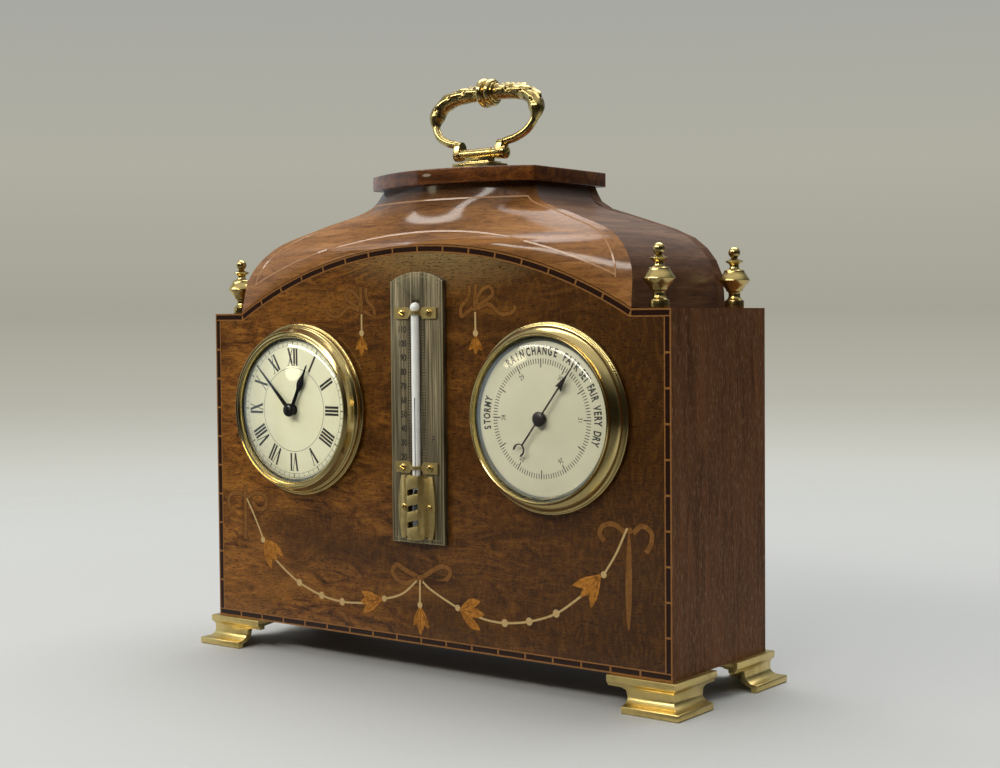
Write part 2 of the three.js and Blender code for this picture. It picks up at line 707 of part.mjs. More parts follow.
function buildClock() {
  const clock = addGroup(model, [-dialOffset, 0, footHeight + dialHeight]);
  buildFace(clock, 'clock', clockEnamel());

  const backY = frontPlateY + plateThickness + plateSpacing;
  const backEnd = backY + plateThickness;
  const inner = drumRadius - drumWall;
  const windingHole = windingSquare * 2 + gap;
  const [barrelX, barrelZ] = polar((greatTeeth + centreLeaves) * trainModule / 2, barrelDirection);
  const [thirdX, thirdZ] = polar((centreTeeth + thirdLeaves) * trainModule / 2, thirdDirection);
  const [fourthDx, fourthDz] = polar((thirdTeeth + fourthLeaves) * thirdModule / 2, fourthDirection);
  const [fourthX, fourthZ] = [thirdX + fourthDx, thirdZ + fourthDz];
  const [escapeDx, escapeDz] = polar((fourthTeeth + escapeLeaves) * fourthModule / 2, escapeDirection);
  const [escapeX, escapeZ] = [fourthX + escapeDx, fourthZ + escapeDz];
  const [balanceDx, balanceDz] = polar(balanceDistance, balanceDirection);
  const [balanceX, balanceZ] = [escapeX + balanceDx, escapeZ + balanceDz];
  const [minuteX, minuteZ] = polar((cannonTeeth + minuteWheelTeeth) * motionModule / 2, minuteWheelDirection);

  const can = [[settingArborRadius + gap, clockDrumDepth - drumWall], [inner, clockDrumDepth - drumWall],
    [inner, -drumFront], [drumRadius, -drumFront], [drumRadius, clockDrumDepth],
    [settingArborRadius + gap, clockDrumDepth], [settingArborRadius + gap, clockDrumDepth - drumWall]];
  addPiece(clock, 'clock_drum', cut(turnedY(can, roundSides),
    rodY(windingHole, clockDrumDepth - 2, clockDrumDepth + 1).translate(barrelX, 0, barrelZ)), plainBrass());

  // Plates, pillars and the balance cock
  const centreTube = settingArborRadius + runningGap + 0.5;
  const hole = (x, z, radius, from, to) => rodY(radius + pivotHoleGap, from, to, 8).translate(x, 0, z);
  const pivots = [[0, 0, centreTube], [barrelX, barrelZ, windingSquare], [thirdX, thirdZ, arborRadius],
    [fourthX, fourthZ, arborRadius], [escapeX, escapeZ, arborRadius]];
  const frontHoles = pivots.map(([x, z, r]) =>
    hole(x, z, r, frontPlateY - 1, frontPlateY + plateThickness + 1));
  const stud = rodY(arborRadius, frontPlateY - 5.6, frontPlateY + 0.5, 10).translate(minuteX, 0, minuteZ);
  const frontPlate = rodY(inner - gap, frontPlateY, frontPlateY + plateThickness, roundSides);
  addPiece(clock, 'movement_front_plate', joined(cut(frontPlate, ...frontHoles), stud), plainBrass());

  const balanceY = backEnd + 1.6;
  const cockY = balanceY + wheelThickness + 1.2;
  const cockPost = polar(balanceRadius + 2.8, -60);
  const backHoles = [...pivots, [balanceX, balanceZ, arborRadius]].map(([x, z, r]) =>
    hole(x, z, r, backY - 1, backEnd + 1));
  const pillars = [10, 130, 250].map((direction) => {
    const [x, z] = polar(pillarCircle, direction);
    return rodY(pillarRadius, frontPlateY + plateThickness, backY + 0.5, 8).translate(x, 0, z);
  });
  const cockArm = block(-2.6, balanceRadius + 5, cockY, cockY + 1.2, -2, 2).rotateY(degrees(60));
  const cockFoot = rodY(2, backEnd - 0.4, cockY + 0.6, 10).translate(cockPost[0], 0, cockPost[1]);
  const cockHole = rodY(arborRadius + pivotHoleGap, cockY - 1, cockY + 2, 10);
  const drilledCock = cut(joined(cockArm, cockFoot), cockHole);
  addPiece(clock, 'movement_back_plate',
    joined(cut(rodY(backPlateRadius, backY, backEnd, 24), ...backHoles), ...pillars,
      drilledCock.translate(balanceX, 0, balanceZ)), plainBrass());

  // Going train, each mesh in phase at rest
  const greatY = frontPlateY + plateThickness + 1;
  const centreWheelY = backY - 3.2;
  const thirdY = frontPlateY + plateThickness + 4.4;
  const fourthY = thirdY + 4;
  const escapeY = centreWheelY;
  const shaftFrom = frontPlateY + 0.3;
  const shaftTo = backEnd - 0.3;
  const barrelAt = degrees(barrelDirection);
  const great = wheelBoard(greatTeeth, trainModule, barrelAt + Math.PI, greatY, greatY + wheelThickness);
  const drum = rodY(springBarrelRadius, greatY + wheelThickness / 2,
    greatY + wheelThickness + barrelDepth, 20);
  const barrel = cut(joined(great, drum), rodY(windingSquare + runningGap, 0, clockDrumDepth, 12));
  addPiece(clock, 'mainspring_barrel', barrel, plainBrass(), [barrelX, 0, barrelZ]);

  const centrePinion = wheelBoard(centreLeaves, trainModule, meshPhase(barrelAt + Math.PI, centreLeaves),
    greatY - 0.3, greatY + wheelThickness + 0.4);
  const thirdAt = degrees(thirdDirection);
  const centreWheel = wheelBoard(centreTeeth, trainModule, thirdAt,
    centreWheelY, centreWheelY + wheelThickness);
  addPiece(clock, 'centre_wheel', cut(joined(centrePinion, centreWheel, rodY(centreTube, shaftFrom, shaftTo)),
    rodY(settingArborRadius + runningGap, -1, clockDrumDepth)), plainBrass());

  const fourthAt = degrees(fourthDirection);
  addPiece(clock, 'third_wheel', joined(
    wheelBoard(thirdLeaves, trainModule, meshPhase(thirdAt, thirdLeaves),
      centreWheelY - 0.5, centreWheelY + 1.6),
    wheelBoard(thirdTeeth, thirdModule, fourthAt, thirdY, thirdY + wheelThickness),
    rodY(arborRadius, shaftFrom, shaftTo, 10)), plainBrass(), [thirdX, 0, thirdZ]);

  const escapeAt = degrees(escapeDirection);
  addPiece(clock, 'fourth_wheel', joined(
    wheelBoard(fourthLeaves, thirdModule, meshPhase(fourthAt, fourthLeaves), thirdY - 0.4, thirdY + 1.5),
    wheelBoard(fourthTeeth, fourthModule, escapeAt, fourthY, fourthY + wheelThickness),
    rodY(arborRadius, shaftFrom, shaftTo, 10)), plainBrass(), [fourthX, 0, fourthZ]);

  const escapeTooth = (2 * Math.PI) / escapeTeeth;
  const escapeOutline = Array.from({ length: escapeTeeth }, (_, i) => {
    const start = i * escapeTooth;
    return [[escapeRadius * 0.78, start], [escapeRadius, start + escapeTooth * 0.3]].map(([r, angle]) =>
      [r * Math.cos(angle), r * Math.sin(angle)]);
  }).flat();
  addPiece(clock, 'escape_wheel', joined(
    wheelBoard(escapeLeaves, fourthModule, meshPhase(escapeAt, escapeLeaves), fourthY - 0.4, fourthY + 1.5),
    board(escapeOutline, wheelThickness * 0.7).translate(0, escapeY, 0),
    rodY(arborRadius, shaftFrom, shaftTo, 10)), steel(), [escapeX, 0, escapeZ]);

  // Balance: a rim on one bar, on a staff between the back plate and the cock
  const rim = cut(rodY(balanceRadius, balanceY, balanceY + wheelThickness, 20),
    rodY(balanceRadius - 1.2, balanceY - 1, balanceY + 2, 20));
  const bar = block(-balanceRadius + 0.6, balanceRadius - 0.6,
    balanceY, balanceY + wheelThickness, -0.8, 0.8);
  addPiece(clock, 'balance_wheel', joined(rim, bar,
    rodY(arborRadius, backY + 0.3, cockY + 0.9, 10)), plainBrass(), [balanceX, 0, balanceZ]);

  // Pallet lever: its arms stand clear outside the escape wheel's tooth tips
  const leverAt = escapeRadius + 2.2;
  const leverSwing = degrees(balanceDirection);
  const [leverX, leverZ] = polar(leverAt, balanceDirection);
  const pallet = (side) => {
    const tipAngle = leverSwing + side * 0.62;
    const tipRadius = escapeRadius + 0.5;
    const [dx, dz] = [tipRadius * Math.cos(tipAngle) - leverX, tipRadius * Math.sin(tipAngle) - leverZ];
    return block(0, Math.hypot(dx, dz), escapeY, escapeY + wheelThickness * 0.7, -0.45, 0.45)
      .rotateY(-Math.atan2(dz, dx));
  };
  const fork = block(0, balanceDistance - leverAt - 1.6, escapeY, escapeY + wheelThickness * 0.7, -0.5, 0.5)
    .rotateY(-leverSwing);
  addPiece(clock, 'pallet_lever', joined(pallet(-1), pallet(1), fork,
    rodY(arborRadius, escapeY - 1.4, backY - gap, 10)), steel(), [escapeX + leverX, 0, escapeZ + leverZ]);

  buildMotionWork(clock, minuteX, minuteZ);
  buildWinding(clock, barrelX, barrelZ, shaftFrom, backEnd);
}

// Motion work: cannon pinion, minute wheel with its pinion, hour wheel on a pipe; then both hands.
function buildMotionWork(clock, minuteX, minuteZ) {
  const minuteAt = degrees(minuteWheelDirection);
  const cannonFrom = frontPlateY - 2.2;
  const dialFront = -drumFront - dialThickness;
  const hourHandY = dialFront - 1.3 - handThickness;
  const minuteHandY = hourHandY - 0.7 - handThickness;
  const hourWheelY = cannonFrom - 2.6;
  const knobY = clockDrumDepth + 1;

  const minuteAngle = (shownMinute / 60) * 2 * Math.PI;
  const hourAngle = (((shownHour % 12) + shownMinute / 60) / 12) * 2 * Math.PI;
  const cannonPhase = minuteAt;
  addPiece(clock, 'hand_setting_arbor', joined(
    wheelBoard(cannonTeeth, motionModule, cannonPhase, cannonFrom, cannonFrom + 1.7),
    rodY(settingArborRadius, minuteHandY - 0.2, knobY + 2, 10)), steel());

  const bushRadius = settingArborRadius + gap;
  const minuteOutline = handOutline(minuteHandLength, 0, [[0.08, 2.6], [0.3, 2.2], [0.75, 0.9]]);
  const minuteHand = board(turned(minuteOutline, minuteAngle), handThickness).translate(0, minuteHandY, 0);
  const boss = turnedY([[0, minuteHandY - 1.2], [2.2, minuteHandY - 1.1], [3.1, minuteHandY - 0.4],
    [3.1, minuteHandY + handThickness], [0, minuteHandY + handThickness]], 14);
  addPiece(clock, 'minute_hand', cut(joined(minuteHand, boss),
    rodY(bushRadius, minuteHandY - 0.5, minuteHandY + 2, 10)), blueSteel());

  const pipe = settingArborRadius + runningGap;
  const pipeOuter = pipe + 0.8;
  const hourOutline = handOutline(hourHandLength, 0,
    [[0.1, 1.6], [0.4, 1.5], [0.52, 3.6], [0.62, 3.8], [0.74, 1.4], [0.85, 0.9]]);
  const hourHand = board(turned(hourOutline, hourAngle), handThickness).translate(0, hourHandY, 0);
  const hourPhase = minuteAt;
  addPiece(clock, 'hour_hand', cut(joined(hourHand, rodY(2.7, hourHandY, hourHandY + handThickness, 14),
    rodY(pipeOuter, hourHandY + 0.1, hourWheelY + wheelThickness),
    wheelBoard(hourTeeth, motionModule, hourPhase, hourWheelY, hourWheelY + wheelThickness)),
    rodY(pipe, hourHandY - 1, hourWheelY + wheelThickness + 1)), blueSteel());

  const wheelPhase = meshPhase(cannonPhase, minuteWheelTeeth);
  const pinionPhase = meshPhase(hourPhase, minutePinionTeeth);
  const wheelY = cannonFrom + 0.2;
  addPiece(clock, 'minute_wheel', cut(joined(
    wheelBoard(minuteWheelTeeth, motionModule, wheelPhase, wheelY, wheelY + wheelThickness),
    wheelBoard(minutePinionTeeth, motionModule, pinionPhase, hourWheelY - 0.2, wheelY + 0.2)),
    rodY(arborRadius + 0.15, hourWheelY - 1, wheelY + wheelThickness + 1, 10)),
    plainBrass(), [minuteX, 0, minuteZ]);

  const grip = toothedOutline(18, (setKnobRadius * 2) / 18, 0, 0.2);
  addPiece(clock, 'hand_setting_knob', cut(board(grip, setKnobLength).translate(0, knobY, 0),
    rodY(settingArborRadius + gap, knobY - 1, knobY + 2 + gap, 10)), plainBrass());
}

function buildWinding(clock, x, z, from, backEnd) {
  const squareEnd = clockDrumDepth + 7;
  const half = windingSquare * 0.7;
  const ratchet = wheelBoard(16, 0.55, 0, backEnd + 0.6, backEnd + 1.7);
  addPiece(clock, 'winding_arbor', joined(rodY(windingSquare, from, backEnd + 6, 12), ratchet,
    block(-half, half, backEnd + 5, squareEnd, -half, half)), steel(), [x, 0, z]);

  const keyFrom = clockDrumDepth + 1;
  const sleeve = rodY(half * 1.42 + 1.4, keyFrom, keyFrom + keyReach * 0.5, 14);
  const bowY = keyFrom + keyReach - keyBow / 2;
  const lobe = (side) => cut(
    rodZ(keyBow * 0.62, -1, 1, 16).translate(side * keyBow * 0.55, bowY - 1, 0),
    rodZ(keyBow * 0.3, -2, 2, 12).translate(side * keyBow * 0.6, bowY - 1, 0));
  const stem = block(-1.6, 1.6, keyFrom + keyReach * 0.4, bowY - 2, -1, 1);
  const key = cut(joined(sleeve, stem, lobe(-1), lobe(1)),
    block(-half - gap, half + gap, keyFrom - 1, squareEnd + gap, -half - gap, half + gap));
  addPiece(clock, 'winding_key', key, plainBrass(), [x, 0, z]);
}

function buildBarometer() {
  const barometer = addGroup(model, [dialOffset, 0, footHeight + dialHeight]);
  buildFace(barometer, 'barometer', barometerCard());

  const inner = drumRadius - drumWall;
  const back = barometerDrumDepth;
  const bridgeY = 4;
  const can = [[2, back - drumWall], [inner, back - drumWall], [inner, -drumFront], [drumRadius, -drumFront],
    [drumRadius, back], [2, back], [2, back - drumWall]];
  const post = (x) => block(x - 1.5, x + 1.5, bridgeY, back - 0.4, -1.5, 1.5);
  const bridge = block(-26, 26, bridgeY, bridgeY + 1.6, -3, 3);
  const pivotZ = -capsuleRadius - 4.5;
  const leverY = capsuleY - 3.6;
  const lug = (x) => block(x - 0.7, x + 0.7, leverY - 2.2, back - 0.4, pivotZ - 2.2, pivotZ + 2.2);
  addPiece(barometer, 'barometer_drum', cut(
    joined(turnedY(can, roundSides), post(-24.5), post(24.5), bridge, lug(-3.9), lug(3.9)),
    rodY(settingArborRadius + pivotHoleGap, bridgeY - 1, bridgeY + 3, 10),
    rodX(1 + pivotHoleGap, -8, 8, 10).translate(0, leverY, pivotZ)), plainBrass());

  const face = capsuleY;
  const rear = capsuleY + capsuleThickness;
  const capsule = [[0, face - 1.6], [3, face - 1.6], [3, face + 0.8], [6, face], [9, face + 0.8], [12, face],
    [15, face + 0.8], [capsuleRadius, face + 1.6], [capsuleRadius, rear - 1.6], [15, rear - 0.8], [12, rear],
    [9, rear - 0.8], [5, rear], [5, back - drumWall], [0, back - drumWall]];
  addPiece(barometer, 'aneroid_capsule', clean(turnedY(capsule, 20)), capsuleBrass());

  const lever = joined(block(-1.4, 1.4, leverY - 0.8, leverY + 0.8, pivotZ, pivotZ + leverLength),
    rodX(1, -5.4, 5.4, 10).translate(0, leverY, pivotZ));
  addPiece(barometer, 'barometer_lever', lever, steel());

  const handY = -drumFront - dialThickness - 1.6 - handThickness;
  const angle = degrees(barometerReading);
  const tail = barometerTailLength;
  const crescent = cut(rodY(3.2, handY, handY + handThickness, 16).translate(0, 0, -tail),
    rodY(2.4, handY - 1, handY + 2, 14).translate(0, 0, -tail - 1.6));
  const arrow = handOutline(barometerHandLength, tail - 2.6, [[0.6, 0.9], [0.62, 4.4], [0.76, 1.2]]);
  const hand = joined(board(arrow, handThickness).translate(0, handY, 0), crescent,
    rodY(3, handY - 0.5, handY + handThickness, 14)).rotateY(angle);
  const arbor = rodY(settingArborRadius, handY, bridgeY + 2.4, 10);
  addPiece(barometer, 'barometer_hand', joined(hand, arbor), blueSteel());
}

// The tube lies in a groove of its plate. Heights are above the case's underside.
function buildThermometer() {
  const front = -scaleThickness;
  const base = addGroup(model, [thermometerX, 0, footHeight]);
  const half = plateWidth / 2;
  const rise = platePeak - plateShoulder;
  const curve = (half ** 2 + rise ** 2) / (2 * rise);
  const sweep = Math.asin(half / curve);
  const steps = 12;
  const top = Array.from({ length: steps + 1 }, (_, i) => {
    const angle = sweep * (1 - (2 * i) / steps);
    return [curve * Math.sin(angle), platePeak - curve + curve * Math.cos(angle)];
  });
  const tubeY = front - tubeStand;
  const plate = board([[-half, plateBottom], [half, plateBottom], ...top], scaleThickness);
  const groove = rodZ(tubeRadius + gap, tubeBottom - 1, tubeTop + 1, 14).translate(0, tubeY, 0);
  addPiece(base, 'thermometer_plate', cut(plate.translate(0, front, 0), groove), silveredBrass());

  const boreTop = tubeTop - 4;
  const tube = [[boreRadius, tubeBottom], [tubeRadius, tubeBottom], [tubeRadius, tubeTop - tubeRadius],
    [tubeRadius * 0.7, tubeTop - tubeRadius * 0.3], [0, tubeTop], [0, boreTop], [boreRadius, boreTop],
    [boreRadius, tubeBottom]];
  const axis = [0, tubeY, 0];
  addPiece(base, 'thermometer_tube', clean(turnedZ(tube, 14)), clearGlass(), axis);
  const column = clean(rodZ(boreRadius - gap, tubeBottom, mercuryTop, 8));
  addPiece(base, 'mercury_column', column, mercurySilver(), axis);

  // A strap section in the XY plane: two wings on the plate and a hump over the tube.
  const strap = (width, humpGap) => {
    const innerR = tubeRadius + humpGap;
    const outerR = innerR + clipThickness;
    const wing = front - clipThickness;
    const root = Math.asin((wing - tubeY) / outerR);
    const reach = outerR * Math.cos(root);
    const arc = (radius, from, to) => Array.from({ length: 7 }, (_, i) => {
      const angle = from + ((to - from) * i) / 6;
      return [radius * Math.cos(angle), tubeY + radius * Math.sin(angle)];
    });
    return [[width / 2, front], [width / 2, wing], [reach + gap, wing], ...arc(outerR, root, -Math.PI - root),
      [-reach - gap, wing], [-width / 2, wing], [-width / 2, front], [-innerR, front],
      ...arc(innerR, -Math.PI, 0), [innerR, front]];
  };
  const clip = () => clean(slab(strap(clipWidth, gap), clipHeight));
  addPiece(base, 'upper_tube_clip', clip(), polishedBrass(), [0, 0, upperClipZ]);
  addPiece(base, 'lower_tube_clip', clip(), polishedBrass(), [0, 0, lowerClipZ]);
  addPiece(base, 'bulb_guard', guardGeometry(strap, front, tubeY), polishedBrass(), [0, 0, guardBottom]);
}

// The guard over the bulb: a wide strap with three slots across its hump and its corners cut off.
function guardGeometry(strap, front, tubeY) {
  const humpGap = guardCage / 2 - tubeRadius - clipThickness;
  const slot = (low, high) => block(-guardCage, guardCage, tubeY - guardCage, tubeY - 0.6,
    guardHeight * low, guardHeight * high);
  const corner = (side, upper) => {
    const edge = guardWidth / 2;
    const z = upper ? guardHeight : 0;
    const inward = upper ? -1 : 1;
    const outline = [[side * (edge + 1), z - inward], [side * (edge - guardCornerWidth), z - inward],
      [side * (edge - guardCornerWidth), z], [side * edge, z + inward * guardCornerHeight],
      [side * (edge + 1), z + inward * guardCornerHeight]];
    return board(outline, clipThickness + 2).translate(0, front - clipThickness - 1, 0);
  };
  const slots = [slot(0.16, 0.34), slot(0.42, 0.6), slot(0.68, 0.86)];
  const corners = [corner(-1, false), corner(1, false), corner(-1, true), corner(1, true)];
  return cut(slab(strap(guardWidth, humpGap), guardHeight), ...slots, ...corners);
}

buildCase();
buildFeet();
buildFinials();
buildRoof();
buildHandle();
buildClock();
buildBarometer();
buildThermometer();

// The origin lies on the floor under the middle of the object's box.
model.updateMatrixWorld(true);
const wholeBox = new THREE.Box3().setFromObject(model, true);
const compendium = new THREE.Group();
const middle = wholeBox.getCenter(new THREE.Vector3());
model.position.set(-middle.x, -middle.y, -wholeBox.min.z);
compendium.add(model);

export default compendium;
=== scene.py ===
"""Looks of a mahogany desk compendium: a clock, an aneroid barometer and a thermometer in one case.

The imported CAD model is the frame. Every new piece is modelled in millimetres in the frame's own
place, brought to metres, dressed in a procedural finish and set to ride on its CAD body.
"""
import logging
import math
from collections.abc import Iterator, Sequence
from contextlib import contextmanager
from dataclasses import dataclass, field
from enum import Enum
import bpy
import numpy as np
from mathutils import Matrix, Vector


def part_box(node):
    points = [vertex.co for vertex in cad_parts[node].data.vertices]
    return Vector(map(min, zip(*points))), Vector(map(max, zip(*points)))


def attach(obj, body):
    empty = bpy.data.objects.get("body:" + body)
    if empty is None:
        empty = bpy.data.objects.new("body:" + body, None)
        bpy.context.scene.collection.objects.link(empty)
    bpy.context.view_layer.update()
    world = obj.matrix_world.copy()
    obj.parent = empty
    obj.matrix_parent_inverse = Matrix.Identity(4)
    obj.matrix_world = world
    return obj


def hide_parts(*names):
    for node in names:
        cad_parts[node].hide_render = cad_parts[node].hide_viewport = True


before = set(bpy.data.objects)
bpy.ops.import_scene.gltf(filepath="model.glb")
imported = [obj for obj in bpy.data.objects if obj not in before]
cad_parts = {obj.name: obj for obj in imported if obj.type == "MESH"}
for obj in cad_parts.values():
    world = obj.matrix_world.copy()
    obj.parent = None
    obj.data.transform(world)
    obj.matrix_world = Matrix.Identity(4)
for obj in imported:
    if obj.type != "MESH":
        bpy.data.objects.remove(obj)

logging.basicConfig(level=logging.INFO, format="%(message)s")
log = logging.getLogger("compendium")

Point2 = tuple[float, float]
Point3 = tuple[float, float, float]
Outline = Sequence[Point2]
Piece = bpy.types.Object
Tree = bpy.types.NodeTree
Node = bpy.types.Node
Socket = bpy.types.NodeSocket

MM = 0.001
PRINT_DEPTH = 0.03
INLAY_DEPTH = 0.06
OVERLAP_STEP = 0.0004  # keeps veneers that overlap from lying in one plane
CAPITAL_SHARE = 1.37  # font size for a capital of height 1
UNDER_POLISH = 0.08  # specular level of wood under its polish


def low_corner(node: str) -> Vector:
    """Lowest corner of a CAD node, in millimetres."""
    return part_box(node)[0] / MM


def high_corner(node: str) -> Vector:
    """Highest corner of a CAD node, in millimetres."""
    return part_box(node)[1] / MM


def middle_of(node: str) -> Vector:
    """Middle of a CAD node's box, in millimetres."""
    return (low_corner(node) + high_corner(node)) / 2


FRONT_Y = low_corner("front_panel").y
CASE_Z = low_corner("front_panel").z
CASE_TOP = high_corner("top_board").z
HALF_WIDTH = high_corner("front_panel").x
CASE_HEIGHT = CASE_TOP - CASE_Z
ARCH_RISE = high_corner("front_panel").z - CASE_TOP
ARCH_HALF_CHORD = HALF_WIDTH - 19.0
ARCH_RADIUS = (ARCH_HALF_CHORD**2 + ARCH_RISE**2) / (2 * ARCH_RISE)
ARCH_CENTRE_Z = CASE_HEIGHT + ARCH_RISE - ARCH_RADIUS


# Drawing helpers


def arc(centre: Point2, radius: float, start: float, end: float, steps: int) -> list[Point2]:
    """Points on an arc between two angles in degrees from the x axis, both ends included."""
    angles = [math.radians(start + (end - start) * i / steps) for i in range(steps + 1)]
    return [(centre[0] + radius * math.cos(a), centre[1] + radius * math.sin(a)) for a in angles]


def curved(points: Sequence[Sequence[float]], steps: int = 8) -> list[tuple[float, ...]]:
    """A smooth line through points, as a centripetal Catmull-Rom curve.

    Args:
        points: The points it passes through, of any dimension.
        steps: Chords between two of them.

    Returns:
        The points along it.
    """
    p = [np.array(q, float) for q in points]
    p = [2 * p[0] - p[1], *p, 2 * p[-1] - p[-2]]
    line = [tuple(p[1])]
    for k in range(1, len(p) - 2):
        line += [catmull_rom(p[k - 1 : k + 3], (i + 1) / steps) for i in range(steps)]
    return line


def catmull_rom(four: Sequence[np.ndarray], share: float) -> tuple[float, ...]:
    """One point between the second and third of four points, as the CAD source's curve gives it.

    Args:
        four: Four points that follow each other.
        share: Place between the second and the third, from 0 to 1.

    Returns:
        The point.
    """
    a, b, c, d = four
    spans = [max(float(np.linalg.norm(v - u)) ** 0.5, 1e-4) for u, v in ((a, b), (b, c), (c, d))]
    first = ((b - a) / spans[0] - (c - a) / (spans[0] + spans[1]) + (c - b) / spans[1]) * spans[1]
    last = ((c - b) / spans[1] - (d - b) / (spans[1] + spans[2]) + (d - c) / spans[2]) * spans[1]
    cubic = 2 * b - 2 * c + first + last
    square = -3 * b + 3 * c - 2 * first - last
    return tuple(b + first * share + square * share**2 + cubic * share**3)


def ribbon(line: Outline, width: float | Sequence[float]) -> list[Point2]:
    """Outline of a band laid along a line.

    Args:
        line: Points along the middle of the band.
        width: Its width, or one width for each point.

    Returns:
        The closed outline, without its first point again.
    """
    p = np.array(line, float)
    along = np.gradient(p, axis=0)
    along /= np.maximum(np.linalg.norm(along, axis=1, keepdims=True), 1e-9)
    half = np.broadcast_to(np.array(width, float) / 2, (len(p),))[:, None]
    side = np.stack([-along[:, 1], along[:, 0]], axis=1) * half
    return [tuple(q) for q in np.vstack([p + side, (p - side)[::-1]])]


def inset(outline: Outline, distance: float) -> list[Point2]:
    """An outline drawn in by a distance towards its inside.

    Args:
        outline: The closed outline.
        distance: How far in.

    Returns:
        The smaller outline.
    """
    p = np.array(outline, float)
    along = np.roll(p, -1, axis=0) - np.roll(p, 1, axis=0)
    along /= np.maximum(np.linalg.norm(along, axis=1, keepdims=True), 1e-9)
    x, z = p.T
    turn = np.sign(float(np.sum(x * np.roll(z, -1) - np.roll(x, -1) * z)))
    return [tuple(q) for q in p + np.stack([-along[:, 1], along[:, 0]], axis=1) * distance * turn]


def rectangle(left: float, right: float, low: float, high: float) -> list[Point2]:
    """Outline of a rectangle."""
    return [(left, low), (right, low), (right, high), (left, high)]


def mirrored(points: Outline) -> list[Point2]:
    """Points that end on the upright axis, and then their mirror images back again."""
    return [*points, *[(-x, z) for x, z in reversed(points[:-1])]]


def disc(centre: Point2, radius: float, steps: int = 24) -> list[Point2]:
    """Outline of a disc."""
    return arc(centre, radius, 0, 360, steps)[:-1]


def turned(points: Outline, angle: float, centre: Point2 = (0.0, 0.0)) -> list[Point2]:
    """Points turned clockwise by degrees as seen from the front, then moved to a centre."""
    s, c = math.sin(math.radians(angle)), math.cos(math.radians(angle))
    return [(centre[0] + x * c + z * s, centre[1] + z * c - x * s) for x, z in points]


# Modelling helpers: each makes or changes a piece in millimetres


def deselect() -> None:
    """Deselects every object."""
    bpy.ops.object.select_all(action="DESELECT")


def activate(*pieces: Piece) -> None:
    """Selects these pieces alone and makes the first of them the active one."""
    deselect()
    for piece in pieces:
        piece.select_set(True)
    bpy.context.view_layer.objects.active = pieces[0]


def linked(name: str, data: bpy.types.ID) -> Piece:
    """A new object with its data, in the scene."""
    piece = bpy.data.objects.new(name, data)
    bpy.context.scene.collection.objects.link(piece)
    return piece


@contextmanager
def editing(piece: Piece) -> Iterator[None]:
    """Edit mode on one piece, with all of it selected.

    Args:
        piece: The piece to edit.

    Yields:
        Nothing; object mode comes back at the end.
    """
    activate(piece)
    bpy.ops.object.mode_set(mode="EDIT")
    bpy.ops.mesh.select_all(action="SELECT")
    yield
    bpy.ops.object.mode_set(mode="OBJECT")


def added(name: str) -> Piece:
    """The primitive that was just added, under its new name."""
    piece = bpy.context.view_layer.objects.active
    piece.name = name
    piece.data.name = name
    return piece


def closed_up(piece: Piece, distance: float = 1e-3) -> Piece:
    """Merges a mesh's doubles and turns its faces outwards.

    Args:
        piece: The piece.
        distance: How near two vertices are to be one.

    Returns:
        The same piece.
    """
    with editing(piece):
        bpy.ops.mesh.remove_doubles(threshold=distance)
        bpy.ops.mesh.normals_make_consistent(inside=False)
    return piece


def applied(piece: Piece, kind: str, **settings: object) -> Piece:
    """Adds a modifier to a piece and applies it.

    Args:
        piece: The piece.
        kind: The modifier's type.
        **settings: Its settings.

    Returns:
        The same piece.
    """
    activate(piece)
    modifier = piece.modifiers.new(kind.lower(), kind)
    for key, value in settings.items():
        setattr(modifier, key, value)
    bpy.ops.object.modifier_apply(modifier=modifier.name)
    return piece


def eased(piece: Piece, width: float, segments: int = 2, angle: float = 30.0) -> Piece:
    """Rounds a piece's edges over an angle in degrees, as handling and polishing do."""
    return applied(piece, "BEVEL", width=width, segments=segments, limit_method="ANGLE",
                   angle_limit=math.radians(angle), miter_outer="MITER_ARC")


def cut_by(piece: Piece, *cutters: Piece) -> Piece:
    """Cuts a piece by others, which are then removed."""
    for cutter in cutters:
        applied(piece, "BOOLEAN", object=cutter, operation="DIFFERENCE", solver="EXACT")
        bpy.data.objects.remove(cutter)
    return piece


def block(name: str, low: Point3, high: Point3) -> Piece:
    """A box between two corners, to be cut or eased further."""
    size = [b - a for a, b in zip(low, high)]
    middle = [(a + b) / 2 for a, b in zip(low, high)]
    deselect()
    bpy.ops.mesh.primitive_cube_add(size=1.0)
    piece = added(name)
    piece.data.transform(Matrix.Translation(middle) @ Matrix.Diagonal((*size, 1.0)))
    return piece


class Axis(Enum):
    """The way a turned piece's axis points."""

    X = Matrix.Rotation(math.pi / 2, 4, "Y")
    Y = Matrix.Rotation(-math.pi / 2, 4, "X")
    Z = Matrix.Identity(4)


def turning(name: str, profile: Outline, axis: Axis, steps: int = 64) -> Piece:
    """A piece turned on a lathe: its profile is drawn by extruding a point and spun round the axis.

    Args:
        name: The piece's name.
        profile: Points as (radius, place along the axis).
        axis: The way the axis points.
        steps: Faces round it.

    Returns:
        The piece, about the origin.
    """
    deselect()
    bpy.ops.mesh.primitive_plane_add(size=1.0)
    piece = added(name)
    with editing(piece):
        bpy.ops.mesh.merge(type="CENTER")
        bpy.ops.transform.translate(value=(profile[0][0], 0, profile[0][1]))
        for (r0, z0), (r1, z1) in zip(profile, profile[1:]):
            bpy.ops.mesh.extrude_region_move(TRANSFORM_OT_translate={"value": (r1 - r0, 0, z1 - z0)})
        bpy.ops.mesh.select_all(action="SELECT")
        bpy.ops.mesh.spin(steps=steps, angle=2 * math.pi, center=(0, 0, 0), axis=(0, 0, 1))
    closed_up(piece)
    piece.data.transform(axis.value)
    return piece


